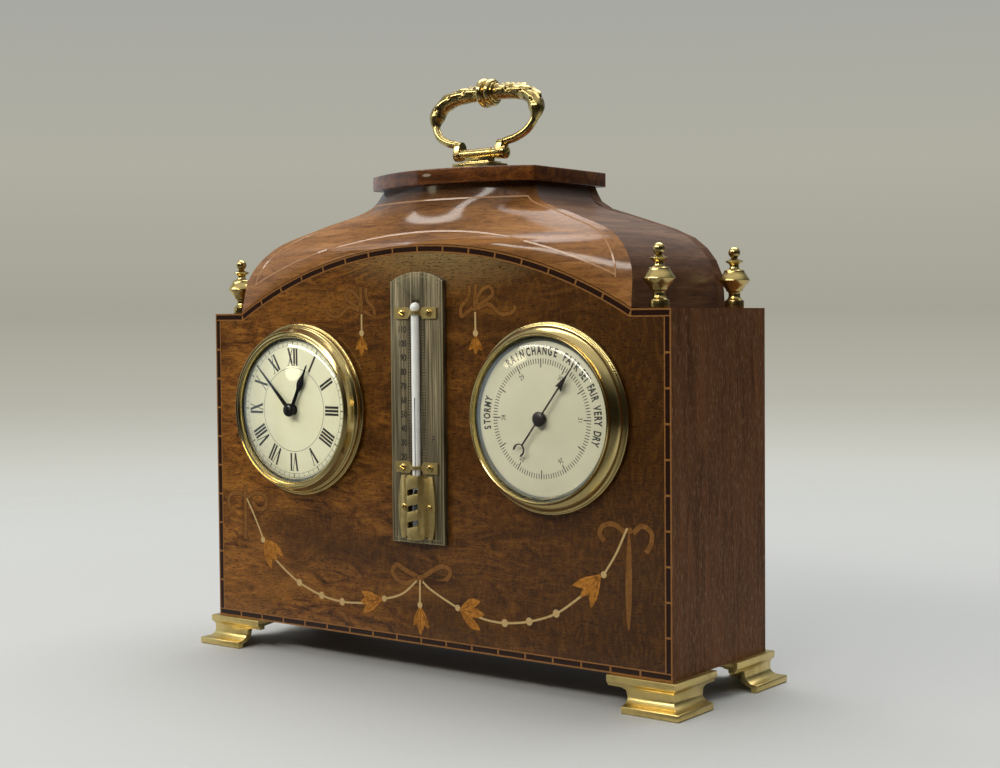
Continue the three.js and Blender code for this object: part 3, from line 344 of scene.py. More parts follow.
def sheet(name: str, outlines: Sequence[Outline], thickness: float = PRINT_DEPTH) -> Piece:
    """A flat sheet cut to outlines, standing in the XZ plane with its front at y 0.

    Args:
        name: The piece's name.
        outlines: Closed outlines; one inside another is a hole.
        thickness: How far it goes back along y.

    Returns:
        The piece.
    """
    curve = bpy.data.curves.new(name, "CURVE")
    curve.dimensions = "2D"
    curve.fill_mode = "BOTH"
    curve.extrude = thickness / 2
    for outline in outlines:
        spline = curve.splines.new("POLY")
        spline.points.add(len(outline) - 1)
        for point, (x, z) in zip(spline.points, outline):
            point.co = (x, z, 0, 1)
        spline.use_cyclic_u = True
    return _stood_up(name, curve, thickness)


def lettering(name: str, text: str, size: float, squeeze: float, weight: float = 0.0) -> Piece:
    """Printed or engraved characters, centred at the origin of the XZ plane.

    Args:
        name: The piece's name.
        text: The characters.
        size: Height of a capital letter.
        squeeze: Width as a share of the plain width.
        weight: How much bolder than plain, as a share of the size.

    Returns:
        The piece.
    """
    curve = bpy.data.curves.new(name, "FONT")
    curve.body = text
    curve.size = size * CAPITAL_SHARE
    curve.align_x = "CENTER"
    curve.align_y = "CENTER"
    curve.extrude = PRINT_DEPTH / 2
    curve.offset = weight * size
    curve.resolution_u = 3
    piece = _stood_up(name, curve, PRINT_DEPTH)
    piece.data.transform(Matrix.Diagonal((squeeze, 1, 1, 1)))
    return piece


def _stood_up(name: str, curve: bpy.types.Curve, thickness: float) -> Piece:
    """Makes a flat curve a mesh and stands it in the XZ plane."""
    activate(linked(name, curve))
    bpy.ops.object.convert(target="MESH")
    piece = bpy.context.view_layer.objects.active
    upright = Matrix.Rotation(math.pi / 2, 4, "X")
    piece.data.transform(Matrix.Translation((0, thickness / 2, 0)) @ upright)
    return closed_up(piece, 1e-4)


def skin(name: str, rings: Sequence[Sequence[Point3]], around: bool = True, ends: bool = True) -> Piece:
    """A skin over rings of points, for a form that changes along its length.

    Args:
        name: The piece's name.
        rings: Rings of equal count.
        around: Whether each ring closes on itself.
        ends: Whether the first and last ring are filled.

    Returns:
        The piece.
    """
    count = len(rings[0])
    faces = []
    for k in range(len(rings) - 1):
        for i in range(count if around else count - 1):
            j = (i + 1) % count
            faces.append((k * count + i, k * count + j, (k + 1) * count + j, (k + 1) * count + i))
    if ends:
        faces.append(tuple(range(count)))
        faces.append(tuple(range((len(rings) - 1) * count, len(rings) * count)))
    mesh = bpy.data.meshes.new(name)
    mesh.from_pydata([p for ring in rings for p in ring], [], faces)
    mesh.update()
    return closed_up(linked(name, mesh))


def copied(node: str, name: str) -> Piece:
    """A copy of a CAD node in millimetres, with its flat faces whole again.

    Args:
        node: The CAD node.
        name: The copy's name.

    Returns:
        The copy.
    """
    piece = linked(name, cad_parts[node].data.copy())
    piece.data.transform(Matrix.Scale(1 / MM, 4))
    with editing(piece):
        bpy.ops.mesh.customdata_custom_splitnormals_clear()
        bpy.ops.mesh.remove_doubles(threshold=0.002)
        bpy.ops.mesh.dissolve_limited(angle_limit=math.radians(0.5))
    return piece


def moved(piece: Piece, place: Sequence[float] = (0, 0, 0), turn: float = 0.0) -> Piece:
    """Turns a piece clockwise about y as seen from the front, then moves it."""
    piece.data.transform(Matrix.Translation(place) @ Matrix.Rotation(math.radians(turn), 4, "Y"))
    return piece


def joined(name: str, pieces: Sequence[Piece]) -> Piece:
    """Several pieces as one object.

    Args:
        name: Its name.
        pieces: The pieces, the first of which takes up the others.

    Returns:
        The object.
    """
    activate(*pieces)
    if len(pieces) > 1:
        bpy.ops.object.join()
    pieces[0].name = name
    return pieces[0]


def duplicate(piece: Piece, name: str) -> Piece:
    """A copy of a piece with its own mesh."""
    return linked(name, piece.data.copy())


# Finishes


def linear(hex_colour: str) -> tuple[float, float, float, float]:
    """A colour written as sRGB hex, as linear RGBA."""
    parts = [int(hex_colour[i : i + 2], 16) / 255 for i in (1, 3, 5)]
    return (*[c / 12.92 if c <= 0.04045 else ((c + 0.055) / 1.055) ** 2.4 for c in parts], 1.0)


def add(tree: Tree, kind: str, inputs: dict | None = None, **settings: object) -> Node:
    """Adds one node.

    Args:
        tree: The material's node tree.
        kind: The node's type, without its prefix.
        inputs: Value, socket or node for each input, by its name or number.
        **settings: The node's own settings.

    Returns:
        The node.
    """
    node = tree.nodes.new(f"ShaderNode{kind}")
    for key, value in settings.items():
        setattr(node, key, value)
    for key, value in (inputs or {}).items():
        source = value.outputs[0] if isinstance(value, Node) else value
        if isinstance(source, Socket):
            tree.links.new(source, node.inputs[key])
        else:
            node.inputs[key].default_value = source
    return node


def stops(tree: Tree, value: object, *pairs: tuple[float, str]) -> Node:
    """A colour ramp over a value.

    Args:
        tree: The node tree.
        value: The value.
        *pairs: Its stops, each a place and a hex colour.

    Returns:
        The ramp.
    """
    node = add(tree, "ValToRGB", {"Fac": value})
    ramp = node.color_ramp
    while len(ramp.elements) < len(pairs):
        ramp.elements.new(1.0)
    for element, (place, colour) in zip(ramp.elements, pairs):
        element.position = place
        element.color = linear(colour)
    return node


def emptied(owner: bpy.types.Material | bpy.types.World) -> Tree:
    """The owner's node tree, switched on and emptied."""
    owner.use_nodes = True
    owner.node_tree.nodes.clear()
    return owner.node_tree


def coordinates(tree: Tree, size: Point3, turn: Point3 = (0, 0, 0)) -> Node:
    """Object coordinates in cells of a size in millimetres, turned by degrees about x, y and z."""
    return add(tree, "Mapping", {"Vector": add(tree, "TexCoord").outputs["Object"],
                                 "Rotation": [math.radians(t) for t in turn],
                                 "Scale": [1 / (s * MM) for s in size]})


def noise(tree: Tree, size: Point3, detail: float = 3.0, rough: float = 0.55, distortion: float = 0.0,
          turn: Point3 = (0, 0, 0)) -> Socket:
    """Noise whose cells have a real size in millimetres."""
    node = add(tree, "TexNoise", {"Vector": coordinates(tree, size, turn), "Scale": 1.0, "Detail": detail,
                                  "Roughness": rough, "Distortion": distortion})
    return node.outputs["Factor"] if "Factor" in node.outputs else node.outputs[0]


def between(tree: Tree, value: object, low: float, high: float, to_low: float = 0.0,
            to_high: float = 1.0) -> Node:
    """A value brought from one range to another and held inside it."""
    return add(tree, "MapRange", {"Value": value, "From Min": low, "From Max": high,
                                  "To Min": to_low, "To Max": to_high})


def blended(tree: Tree, share: object, first: object, second: object) -> Socket:
    """Two colours mixed by a share."""
    return add(tree, "Mix", {0: share, 6: first, 7: second}, data_type="RGBA").outputs[2]


def tinted(tree: Tree, colour: object, tone: str, value: object, *reach: float) -> Socket:
    """A colour drawn towards a tone by a value, over the ranges that between takes."""
    return blended(tree, between(tree, value, *reach), colour, linear(tone))


def product(tree: Tree, first: object, second: object) -> Node:
    """Two values multiplied."""
    return add(tree, "Math", {0: first, 1: second}, operation="MULTIPLY")


def bump(tree: Tree, height: object, strength: float, depth: float, **under: Node) -> Node:
    """Relief of a depth in metres, on top of another where that is given as Normal."""
    return add(tree, "Bump", {"Height": height, "Strength": strength, "Distance": depth, **under})


MADE: dict[str, bpy.types.Material] = {}


@dataclass(frozen=True)
class Finish:
    """A surface finish. Its material is made once and shared."""

    label: str
    slot: str

    def inputs(self, tree: Tree) -> dict:
        """The shader's inputs by name; each finish has its own."""
        raise NotImplementedError

    def material(self) -> bpy.types.Material:
        """The finish's material."""
        if self.label not in MADE:
            MADE[self.label] = bpy.data.materials.new(self.label)
            tree = emptied(MADE[self.label])
            add(tree, "OutputMaterial", {"Surface": add(tree, "BsdfPrincipled", self.inputs(tree))})
        return MADE[self.label]


class Grain(Enum):
    """The way the grain runs, as the name of its axis."""

    LENGTHWISE = "x"
    UPRIGHT = "z"
    FRONT_TO_BACK = "y"

    def cell(self, along: float, across: float) -> Point3:
        """A cell of that length along the grain and width across it."""
        return tuple(along if axis == self.value else across for axis in "xyz")


@dataclass(frozen=True)
class Mahogany(Finish):
    """French-polished mahogany: streaked ground, dark open pores and a clear shellac coat."""

    ground: str = "#71481a"
    dark: str = "#402608"
    light: str = "#9c6826"
    pore: str = "#1e1107"
    grain: Grain = Grain.LENGTHWISE
    figure: Point2 = (46.0, 8.0)
    curl: float = 1.2
    ripple: float = 0.3
    figuring: float = 0.6
    pore_cell: Point2 = (4.5, 0.55)
    pore_share: float = 0.6
    coat: float = 0.7
    coat_roughness: float = 0.06
    # The next three paint light into the colour: painted shade to the right, a painted glare at the crown, a
    # painted shadow under the cap.
    right_shade: float = 0.0
    bleached: float = 0.0
    top_shade: float = 0.0
    roughness: Point2 = (0.42, 0.56)

    def inputs(self, tree: Tree) -> dict:
        """Streaks of figure, cross ripple, fibre and pores, under the polish; where asked, also painted shade
        to the right, a painted shadow under the cap and a painted glare at the arch's crown.
        """
        cell = self.grain.cell
        figure = noise(tree, cell(*self.figure), detail=5, rough=0.62, distortion=self.curl)
        colour = stops(tree, figure, (0.36, self.dark), (0.5, self.ground), (0.64, self.light))
        patches = noise(tree, cell(70, 24), distortion=0.8)
        colour = tinted(tree, colour, self.light, patches, 0.5, 0.66, 0, self.figuring)
        place = add(tree, "TexCoord").outputs["Object"]
        axes = add(tree, "SeparateXYZ", {0: place}).outputs
        # Painted shade: darker towards the right, partly the veneer's own tone and mostly light falling off
        # from the left.
        if self.right_shade:
            colour = tinted(tree, colour, self.dark, axes["X"], -0.12, 0.13, 0, self.right_shade)
        shade = noise(tree, cell(95, 30), distortion=0.6, turn=(0, 8, 0))
        colour = tinted(tree, colour, self.dark, shade, 0.48, 0.64, 0, self.figuring * 1.2)
        ripple = noise(tree, cell(3.0, 9), distortion=1.5)
        colour = tinted(tree, colour, self.light, ripple, 0.46, 0.62, 0, self.ripple)
        # Painted shadow: nearly black just under the cap, where its overhang shades the neck.
        if self.top_shade:
            top = high_corner("roof_front_moulding").z * MM
            colour = tinted(tree, colour, "#1e0d03", axes["Z"], top - 0.013, top - 0.003, 0, self.top_shade)
        # Painted reflection: a pale golden glare of the lamp's sheen at the top middle of the arch.
        if self.bleached:
            crown = (0.014, 0, high_corner("front_panel").z * MM)
            offset = add(tree, "VectorMath", {0: place, 1: crown}, operation="SUBTRACT")
            squeezed = add(tree, "VectorMath", {0: offset, 1: (14.0, 0, 42.0)}, operation="MULTIPLY")
            reach = add(tree, "VectorMath", {0: squeezed}, operation="LENGTH").outputs["Value"]
            colour = tinted(tree, colour, "#9a8355", reach, 0.25, 1.0, self.bleached, 0)
        fibre = noise(tree, cell(14, 0.45), detail=5, rough=0.75, distortion=0.3)
        colour = tinted(tree, colour, self.dark, fibre, 0.46, 0.62, 0, 0.5)
        specks = noise(tree, cell(*self.pore_cell), detail=2, rough=0.6, distortion=self.curl * 0.35)
        pores = between(tree, specks, 0.57, 0.62)
        colour = blended(tree, product(tree, pores, self.pore_share), colour, linear(self.pore))
        height = add(tree, "Math", {0: 1.0, 1: pores}, operation="SUBTRACT")
        waves = bump(tree, ripple, 0.3, 0.0001, Normal=bump(tree, height, 0.25, 0.00006))
        return {"Base Color": colour, "Roughness": between(tree, fibre, 0.3, 0.7, *self.roughness),
                "Normal": waves, "Coat Weight": self.coat, "Coat Roughness": self.coat_roughness,
                "Specular IOR Level": UNDER_POLISH, "IOR": 1.5}


@dataclass(frozen=True)
class Veneer(Finish):
    """An inlaid veneer, let in flush and polished over with the panel."""

    pale: str = "#c8ad78"
    deep: str = "#ae905c"
    cell: Point3 = (2.0, 2.0, 0.4)

    def inputs(self, tree: Tree) -> dict:
        """Fine straight grain between two tones."""
        grain = noise(tree, self.cell, detail=4, rough=0.7)
        return {"Base Color": stops(tree, grain, (0.35, self.deep), (0.62, self.pale)),
                "Roughness": between(tree, grain, 0.3, 0.7, 0.34, 0.48), "Coat Weight": 0.5,
                "Coat Roughness": 0.06, "Specular IOR Level": UNDER_POLISH}


@dataclass(frozen=True)
class Brass(Finish):
    """Lacquered brass: warm metal with brown tarnish in patches and a fine polish grain."""

    metal: str = "#cdb677"
    tarnish: str = "#75602f"
    tarnish_share: float = 0.45
    roughness: Point2 = (0.14, 0.3)
    patch: float = 7.0
    hollow: bool = False

    def inputs(self, tree: Tree) -> dict:
        """Patches of tarnish, small specks and polishing marks."""
        cloud = noise(tree, (self.patch,) * 3, detail=4, rough=0.65)
        colour = tinted(tree, linear(self.metal), self.tarnish, cloud, 0.45, 0.75, 0, self.tarnish_share)
        specks = noise(tree, (0.9,) * 3, rough=0.7)
        colour = tinted(tree, colour, self.tarnish, specks, 0.64, 0.74, 0, 0.55)
        if self.hollow:
            depth = add(tree, "Attribute", attribute_name="hollow").outputs["Fac"]
            colour = tinted(tree, colour, "#241807", depth, 0.15, 0.6)
        return {"Base Color": colour, "Roughness": between(tree, cloud, 0.35, 0.75, *self.roughness),
                "Normal": bump(tree, noise(tree, (6.0,) * 3, rough=0.6), 0.12, 0.00003), "Metallic": 1.0}


@dataclass(frozen=True)
class Steel(Finish):
    """Plain or blued steel with a fine grain."""

    metal: str = "#8d8f92"
    stain: str = "#6a6660"
    roughness: Point2 = (0.25, 0.4)
    metallic: float = 1.0

    def inputs(self, tree: Tree) -> dict:
        """A light stain and grain."""
        cloud = noise(tree, (3.0,) * 3, detail=4)
        return {"Base Color": tinted(tree, linear(self.metal), self.stain, cloud, 0.4, 0.7, 0, 0.6),
                "Normal": bump(tree, noise(tree, (0.3, 0.3, 2.0), detail=2), 0.1, 0.00002),
                "Roughness": between(tree, cloud, 0.3, 0.7, *self.roughness), "Metallic": self.metallic}


@dataclass(frozen=True)
class SilveredBrass(Finish):
    """Silvered brass plate, brushed upright, with the silvering worn and gone grey-brown."""

    metal: str = "#7e7359"
    worn: str = "#3d3626"
    bright: str = "#bdaf8c"

    def inputs(self, tree: Tree) -> dict:
        """Long upright strokes in three tones."""
        strokes = noise(tree, (0.42, 3.0, 50.0), detail=5, rough=0.7)
        colour = stops(tree, strokes, (0.38, self.worn), (0.5, self.metal), (0.63, self.bright))
        wide = noise(tree, (5.0, 5.0, 40.0), detail=2)
        return {"Base Color": tinted(tree, colour, self.worn, wide, 0.4, 0.7, 0, 0.5),
                "Normal": bump(tree, strokes, 0.35, 0.00004),
                "Roughness": between(tree, strokes, 0.3, 0.7, 0.38, 0.52), "Metallic": 0.75}


@dataclass(frozen=True)
class Enamel(Finish):
    """A smooth dial surface, slightly yellowed and clouded."""

    face: str = "#faf6d6"
    aged: str = "#f0eac2"
    roughness: float = 0.3
    coat: float = 0.4

    def inputs(self, tree: Tree) -> dict:
        """Large soft clouds of age."""
        cloud = noise(tree, (22.0,) * 3)
        return {"Base Color": tinted(tree, linear(self.face), self.aged, cloud, 0.4, 0.7, 0, 0.7),
                "Roughness": self.roughness, "Coat Weight": self.coat, "Coat Roughness": 0.1}


@dataclass(frozen=True)
class Ink(Finish):
    """Printing or engraving wax, slightly uneven."""

    tone: str = "#1d1b17"
    faint: str = "#3a352a"

    def inputs(self, tree: Tree) -> dict:
        """Uneven density."""
        cloud = noise(tree, (1.2,) * 3)
        return {"Base Color": tinted(tree, linear(self.tone), self.faint, cloud, 0.45, 0.75),
                "Roughness": 0.5}


@dataclass(frozen=True)
class Glass(Finish):
    """Clear glass that goes grey-blue where it is seen edge on, as thick old glass does."""

    tint: str = "#f4f7f6"
    edge_on: str = "#666a69"

    def inputs(self, tree: Tree) -> dict:
        """Clear face on, tinted edge on."""
        facing = add(tree, "LayerWeight", {"Blend": 0.5}).outputs["Facing"]
        return {"Base Color": tinted(tree, linear(self.tint), self.edge_on, facing, 0.3, 0.6),
                "Roughness": 0.0, "Transmission Weight": 1.0, "IOR": 1.45}


# Flame-cut and French polished: curled figure under sharp, mirror-like gloss; painted shade darkens it to the
# right and a painted glare lightens the arch's crown
FRONT_VENEER = Mahogany(
    "flame_mahogany_polished", "mahogany_front", ground="#7f4d1b", dark="#402509", light="#a46c28",
    figure=(26.0, 8.0), curl=2.6, ripple=0.14, pore_cell=(2.4, 0.5), pore_share=0.75, coat_roughness=0.05,
    right_shade=1.0, bleached=0.7)
# Straight-grained, polish worn dull: fine upright pores and a soft sheen
SIDE_WOOD = Mahogany(
    "straight_mahogany_polished", "mahogany_side", ground="#6c4528", dark="#523119", light="#7a4d2c",
    pore="#b18c6a", grain=Grain.UPRIGHT, figure=(70.0, 6.0), ripple=0.08, figuring=0.3,
    pore_cell=(3.4, 0.36), pore_share=0.42, coat=0.05, coat_roughness=0.3, roughness=(0.46, 0.6))
# Straight-grained, lightly polished: long fine streaks, blurred highlights, and a painted shadow under the
# cap
ROOF_FRONT_WOOD = Mahogany(
    "roof_mahogany_lengthwise", "mahogany_roof", ground="#90602f", dark="#6d4421", light="#a9753f",
    figure=(60.0, 5.0), ripple=0.12, figuring=0.35, pore_cell=(6.0, 0.5),
    pore_share=0.4, coat=0.6, coat_roughness=0.12, roughness=(0.4, 0.5), top_shade=0.85)
# The same wood across the roof: darker, with a duller sheen and a painted shadow under the cap
ROOF_SIDE_WOOD = Mahogany(
    "roof_mahogany_sideways", "mahogany_roof", ground="#6e4c35", dark="#523521", light="#866348",
    grain=Grain.FRONT_TO_BACK, figure=(60.0, 5.0), ripple=0.1, figuring=0.3, pore_cell=(6.0, 0.5),
    pore_share=0.4, coat=0.45, coat_roughness=0.28, roughness=(0.42, 0.55), top_shade=0.7)
# Fully polished: dark red-brown with sharp highlights
CAP_WOOD = Mahogany(
    "cap_mahogany_polished", "mahogany_roof", ground="#6a3a12", dark="#45240a", light="#8a5220",
    figure=(60.0, 5.0), ripple=0.1, figuring=0.3, pore_cell=(5.0, 0.5), coat=0.9)
# Oiled, not polished: pale brown and nearly matt
BACK_WOOD = Mahogany(
    "inner_mahogany_oiled", "mahogany_inner", ground="#6b4a32", dark="#523522", light="#7d5a40",
    figure=(70.0, 7.0), ripple=0.05, coat=0.1, coat_roughness=0.4, roughness=(0.5, 0.65))
# Thinly polished: brown, with a faint satin sheen
DOOR_WOOD = Mahogany(
    "door_mahogany_polished", "mahogany_side", ground="#5f3f2c", dark="#47291c", light="#75503a",
    figure=(80.0, 8.0), ripple=0.12, coat=0.3, coat_roughness=0.3, roughness=(0.42, 0.55))
# Boxwood: thin pale lines, almost without grain
BOXWOOD = Veneer("boxwood_stringing", "mahogany_front")
# Boxwood under old polish: browner and hardly lighter than the roof
ROOF_STRING = Veneer("roof_stringing", "mahogany_roof", pale="#b58a62", deep="#9c7048")
# Toned boxwood: tan lines either side of the blocks
BANDING = Veneer("banding_lines", "mahogany_front", pale="#966838", deep="#7a5028")
# Stained black: dark blocks with a trace of brown
EBONISED = Veneer("ebonised_blocks", "mahogany_front", pale="#2c160b", deep="#1c0d06")
# Sand-shaded satinwood: orange petals, darker in patches
HUSK = Veneer("shaded_satinwood_husks", "mahogany_front", pale="#b8792b", deep="#7f4f15",
              cell=(2.2, 2.2, 2.2))
# Walnut: mid-brown ribbons that barely stand out
BOW = Veneer("walnut_bows", "mahogany_front", pale="#855928", deep="#68441d", cell=(2.4, 2.4, 2.4))
# Scorched veneer: a thin dark edge
BURNT = Veneer("burnt_veneer_edges", "mahogany_front", pale="#4a2b10", deep="#351d09")
# Polished and lacquered: bright yellow reflections
POLISHED_BRASS = Brass("polished_brass_lacquered", "polished_brass")
# Cast and satin-finished: broad soft highlights
FOOT_BRASS = Brass("cast_brass_satin", "polished_brass", metal="#e2ca84", tarnish="#8a7034",
                   tarnish_share=0.35, roughness=(0.28, 0.4))
# Rolled strip, aged: dull yellow with brown patches
STRAP_BRASS = Brass("strap_brass_aged", "polished_brass", metal="#d6bf80", tarnish="#6b5728",
                    roughness=(0.34, 0.5), patch=4.0)
# Spun and polished: tight highlights, tarnish in broad patches
SPUN_BRASS = Brass("spun_brass_bezel", "polished_brass", metal="#d1bb7e", tarnish="#84703c",
                   tarnish_share=0.3, roughness=(0.12, 0.22), patch=16.0)
# Cast and chased: bright ridges, brown hollows
CAST_BRASS = Brass("cast_brass_chased", "polished_brass", metal="#c9b274", tarnish="#5c4a22",
                   tarnish_share=0.6, hollow=True, roughness=(0.16, 0.28), patch=5.0)
# Turned and left plain: muted yellow
PLAIN_BRASS = Brass("turned_brass", "plain_brass", metal="#bda264", tarnish="#7a6636",
                    roughness=(0.28, 0.42))
# Machined steel: clean grey gloss
STEEL = Steel("bright_steel", "steel")
# Blacked and polished: near-black with a crisp glint
BLACKED_STEEL = Steel("blacked_steel_hands", "blued_steel", metal="#26262a", stain="#332e2a",
                      roughness=(0.14, 0.24), metallic=0.6)
# Blacked steel gone grey: dark and satin
GREYED_STEEL = Steel("greyed_steel_hand", "blued_steel", metal="#3a3637", stain="#4a4440",
                     roughness=(0.3, 0.42), metallic=0.5)
# Silvered and brushed brass: grey-gold with fine upright lines
PLATE_SILVER = SilveredBrass("silvered_plate_brushed", "silvered_brass")
# Lines cut through the silvering: bright brass shows
SCRIBED = SilveredBrass("bright_scribed_line", "silvered_brass", metal="#b3a680", worn="#94885f",
                        bright="#cabd94")
# Fired enamel: smooth cream with a wet gloss
CLOCK_ENAMEL = Enamel("cream_vitreous_enamel", "clock_enamel")
# Printed card: pale and nearly matt
BAROMETER_CARD = Enamel("printed_card_white", "barometer_card", face="#dad5ba", aged="#cdc8ac", roughness=0.5,
                        coat=0.1)
# Printed black: flat, slightly uneven
DIAL_INK = Ink("dial_ink", "clock_enamel")
# Printed black on card: softer and greyer
CARD_INK = Ink("card_ink", "barometer_card", tone="#2b2b27", faint="#47463e")
# Wax-filled engraving: dark brown-black, matt
ENGRAVING = Ink("engraving_wax", "silvered_brass", tone="#211d15", faint="#3a352a")
# Blown glass: clear, seen by its reflections
CLEAR_GLASS = Glass("domed_glass", "clear_glass")
# Brushed grey paint inside the bezel: dull, half in shade
LINER_PAINT = Enamel("sight_liner_grey_paint", "silvered_brass", face="#84877f", aged="#636660",
                     roughness=0.25)
# Opal-backed glass: white with a hard gloss
OPAL_GLASS = Enamel("opal_glass", "clear_glass", face="#fbfcf8", aged="#eceeea", roughness=0.15, coat=1.0)
# Liquid mercury: grey mirror
MERCURY = Steel("liquid_mercury", "mercury", metal="#a9adb1", stain="#83878c", roughness=(0.08, 0.14))


def settled(piece: Piece, finish: Finish, replaces: Sequence[str] = (), smooth: float | None = 35.0,
            body: str = "case") -> Piece:
    """Brings a finished piece to metres, dresses it and sets it on its body.

    Args:
        piece: The piece in millimetres.
        finish: Its finish.
        replaces: CAD nodes it stands for.
        smooth: Greatest angle between faces that shade as one, in degrees; None leaves it faceted.
        body: The CAD body it rides on.

    Returns:
        The piece.
    """
    piece.data.transform(Matrix.Scale(MM, 4))
    if smooth is not None:
        activate(piece)
        bpy.ops.object.shade_smooth_by_angle(angle=math.radians(smooth))
    piece.data.materials.clear()
    piece.data.materials.append(finish.material())
    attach(piece, body)
    if replaces:
        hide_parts(*replaces)
    log.info("built %s: %d faces on %s", piece.name, len(piece.data.polygons), body)
    return piece


def dress_node(node: str, finish: Finish) -> None:
    """Gives a CAD node that stays in view its finish."""
    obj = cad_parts[node]
    for slot in obj.material_slots:
        slot.material = finish.material()
    if not obj.material_slots:
        obj.data.materials.append(finish.material())


@dataclass
class ScrewHead:
    """A domed or flat slotted screw head, its axis along y and its seat at y 0."""

    radius: float
    reach: float
    slot_width: float
    slot_angle: float

    def build(self, name: str) -> Piece:
        """Turns the head and cuts its slot.

        Args:
            name: The piece's name.

        Returns:
            The head, towards -y.
        """
        dome = [(self.radius * math.sin(a), -self.reach * (0.35 + 0.65 * math.cos(a)))
                for a in (math.radians(90 - 15 * i) for i in range(6))]
        profile = [(0.0, 0.25), (self.radius, 0.25), *dome, (0.0, -self.reach)]
        head = turning(name, profile, Axis.Y, 28)
        half = self.slot_width / 2
        slot = block("slot", (-self.radius * 2, -self.reach * 2, -half),
                     (self.radius * 2, -self.reach * 0.5, half))
        return cut_by(head, moved(slot, turn=self.slot_angle))


@dataclass
class Banding:
    """The chequered banding round the front panel."""

    outer: Point2 = (0.0, 0.7)
    blocks: Point2 = (0.7, 2.95)
    inner: Point2 = (2.95, 3.5)
    pitch: float = 14.5
    joint: float = 0.9

    def loop(self, inset: float) -> list[Point2]:
        """The panel's outline moved inwards, from its lower left corner round by the right.

        Args:
            inset: How far inwards.

        Returns:
            Points as x and z above the case's underside.
        """
        half, ledge = HALF_WIDTH - inset, CASE_HEIGHT - inset
        radius = ARCH_RADIUS - inset
        sweep = math.degrees(math.acos((ledge - ARCH_CENTRE_Z) / radius))
        arch = arc((0, ARCH_CENTRE_Z), radius, 90 - sweep, 90 + sweep, 64)
        return [(-half, inset), (half, inset), (half, ledge), *arch, (-half, ledge)]

    def build(self) -> None:
        """Lays two light lines and the dark blocks between them."""
        for name, (start, end) in (("banding_outer_line", self.outer), ("banding_inner_line", self.inner)):
            ring = sheet(name, [raised(self.loop(start + 0.02)), raised(self.loop(end))], INLAY_DEPTH)
            settled(on_panel(ring), BANDING, smooth=None)
        ground = sheet("banding_joints", [raised(self.loop(self.blocks[0])),
                                          raised(self.loop(self.blocks[1]))],
                       INLAY_DEPTH * 0.8)
        settled(on_panel(ground, INLAY_DEPTH * 0.8), BANDING, smooth=None)
        settled(on_panel(sheet("banding_dark_blocks", self.dark_blocks(), INLAY_DEPTH), INLAY_DEPTH * 1.1),
                EBONISED, smooth=None)

    def dark_blocks(self) -> list[Outline]:
        """The blocks' outlines, one run for each side of the panel."""
        found = []
        for run in self.runs():
            lengths = np.concatenate([[0], np.cumsum(np.linalg.norm(np.diff(run, axis=0), axis=1))])
            count = max(1, round(lengths[-1] / self.pitch))
            pitch = lengths[-1] / count
            for i in range(count):
                start = i * pitch + (self.joint / 2 if i else 0)
                end = (i + 1) * pitch - (self.joint / 2 if i < count - 1 else 0)
                places = [start, *[s for s in lengths if start < s < end], end]
                line = [(float(np.interp(s, lengths, run[:, 0])), float(np.interp(s, lengths, run[:, 1])))
                        for s in places]
                found.append(raised(ribbon(line, self.blocks[1] - self.blocks[0] - 0.1)))
        return found

    def runs(self) -> list[np.ndarray]:
        """The middle lines of the banding's sides: bottom, right, right ledge, arch, left ledge, left."""
        loop = self.loop(sum(self.blocks) / 2)
        corners = [0, 1, 2, 3, len(loop) - 2, len(loop) - 1, len(loop)]
        closed = np.array([*loop, loop[0]])
        half, joint = (self.blocks[1] - self.blocks[0]) / 2, self.joint / 2
        trims = ((-half, -half), (half + joint,) * 2, (-half, joint), (joint, joint), (joint, -half),
                 (half + joint,) * 2)
        found = []
        for a, b, (first, last) in zip(corners, corners[1:], trims):
            run = closed[a : b + 1].copy()
            start, end = run[1] - run[0], run[-2] - run[-1]
            run[0] += start / np.linalg.norm(start) * first
            run[-1] += end / np.linalg.norm(end) * last
            found.append(run)
        return found


def raised(points: Outline) -> list[Point2]:
    """Points measured from the case's underside, brought to the frame."""
    return [(x, z + CASE_Z) for x, z in points]


def on_panel(piece: Piece, proud: float = INLAY_DEPTH) -> Piece:
    """Lays a flat piece on the front panel, standing proud by a hair."""
    return moved(piece, (0, FRONT_Y - proud, 0))


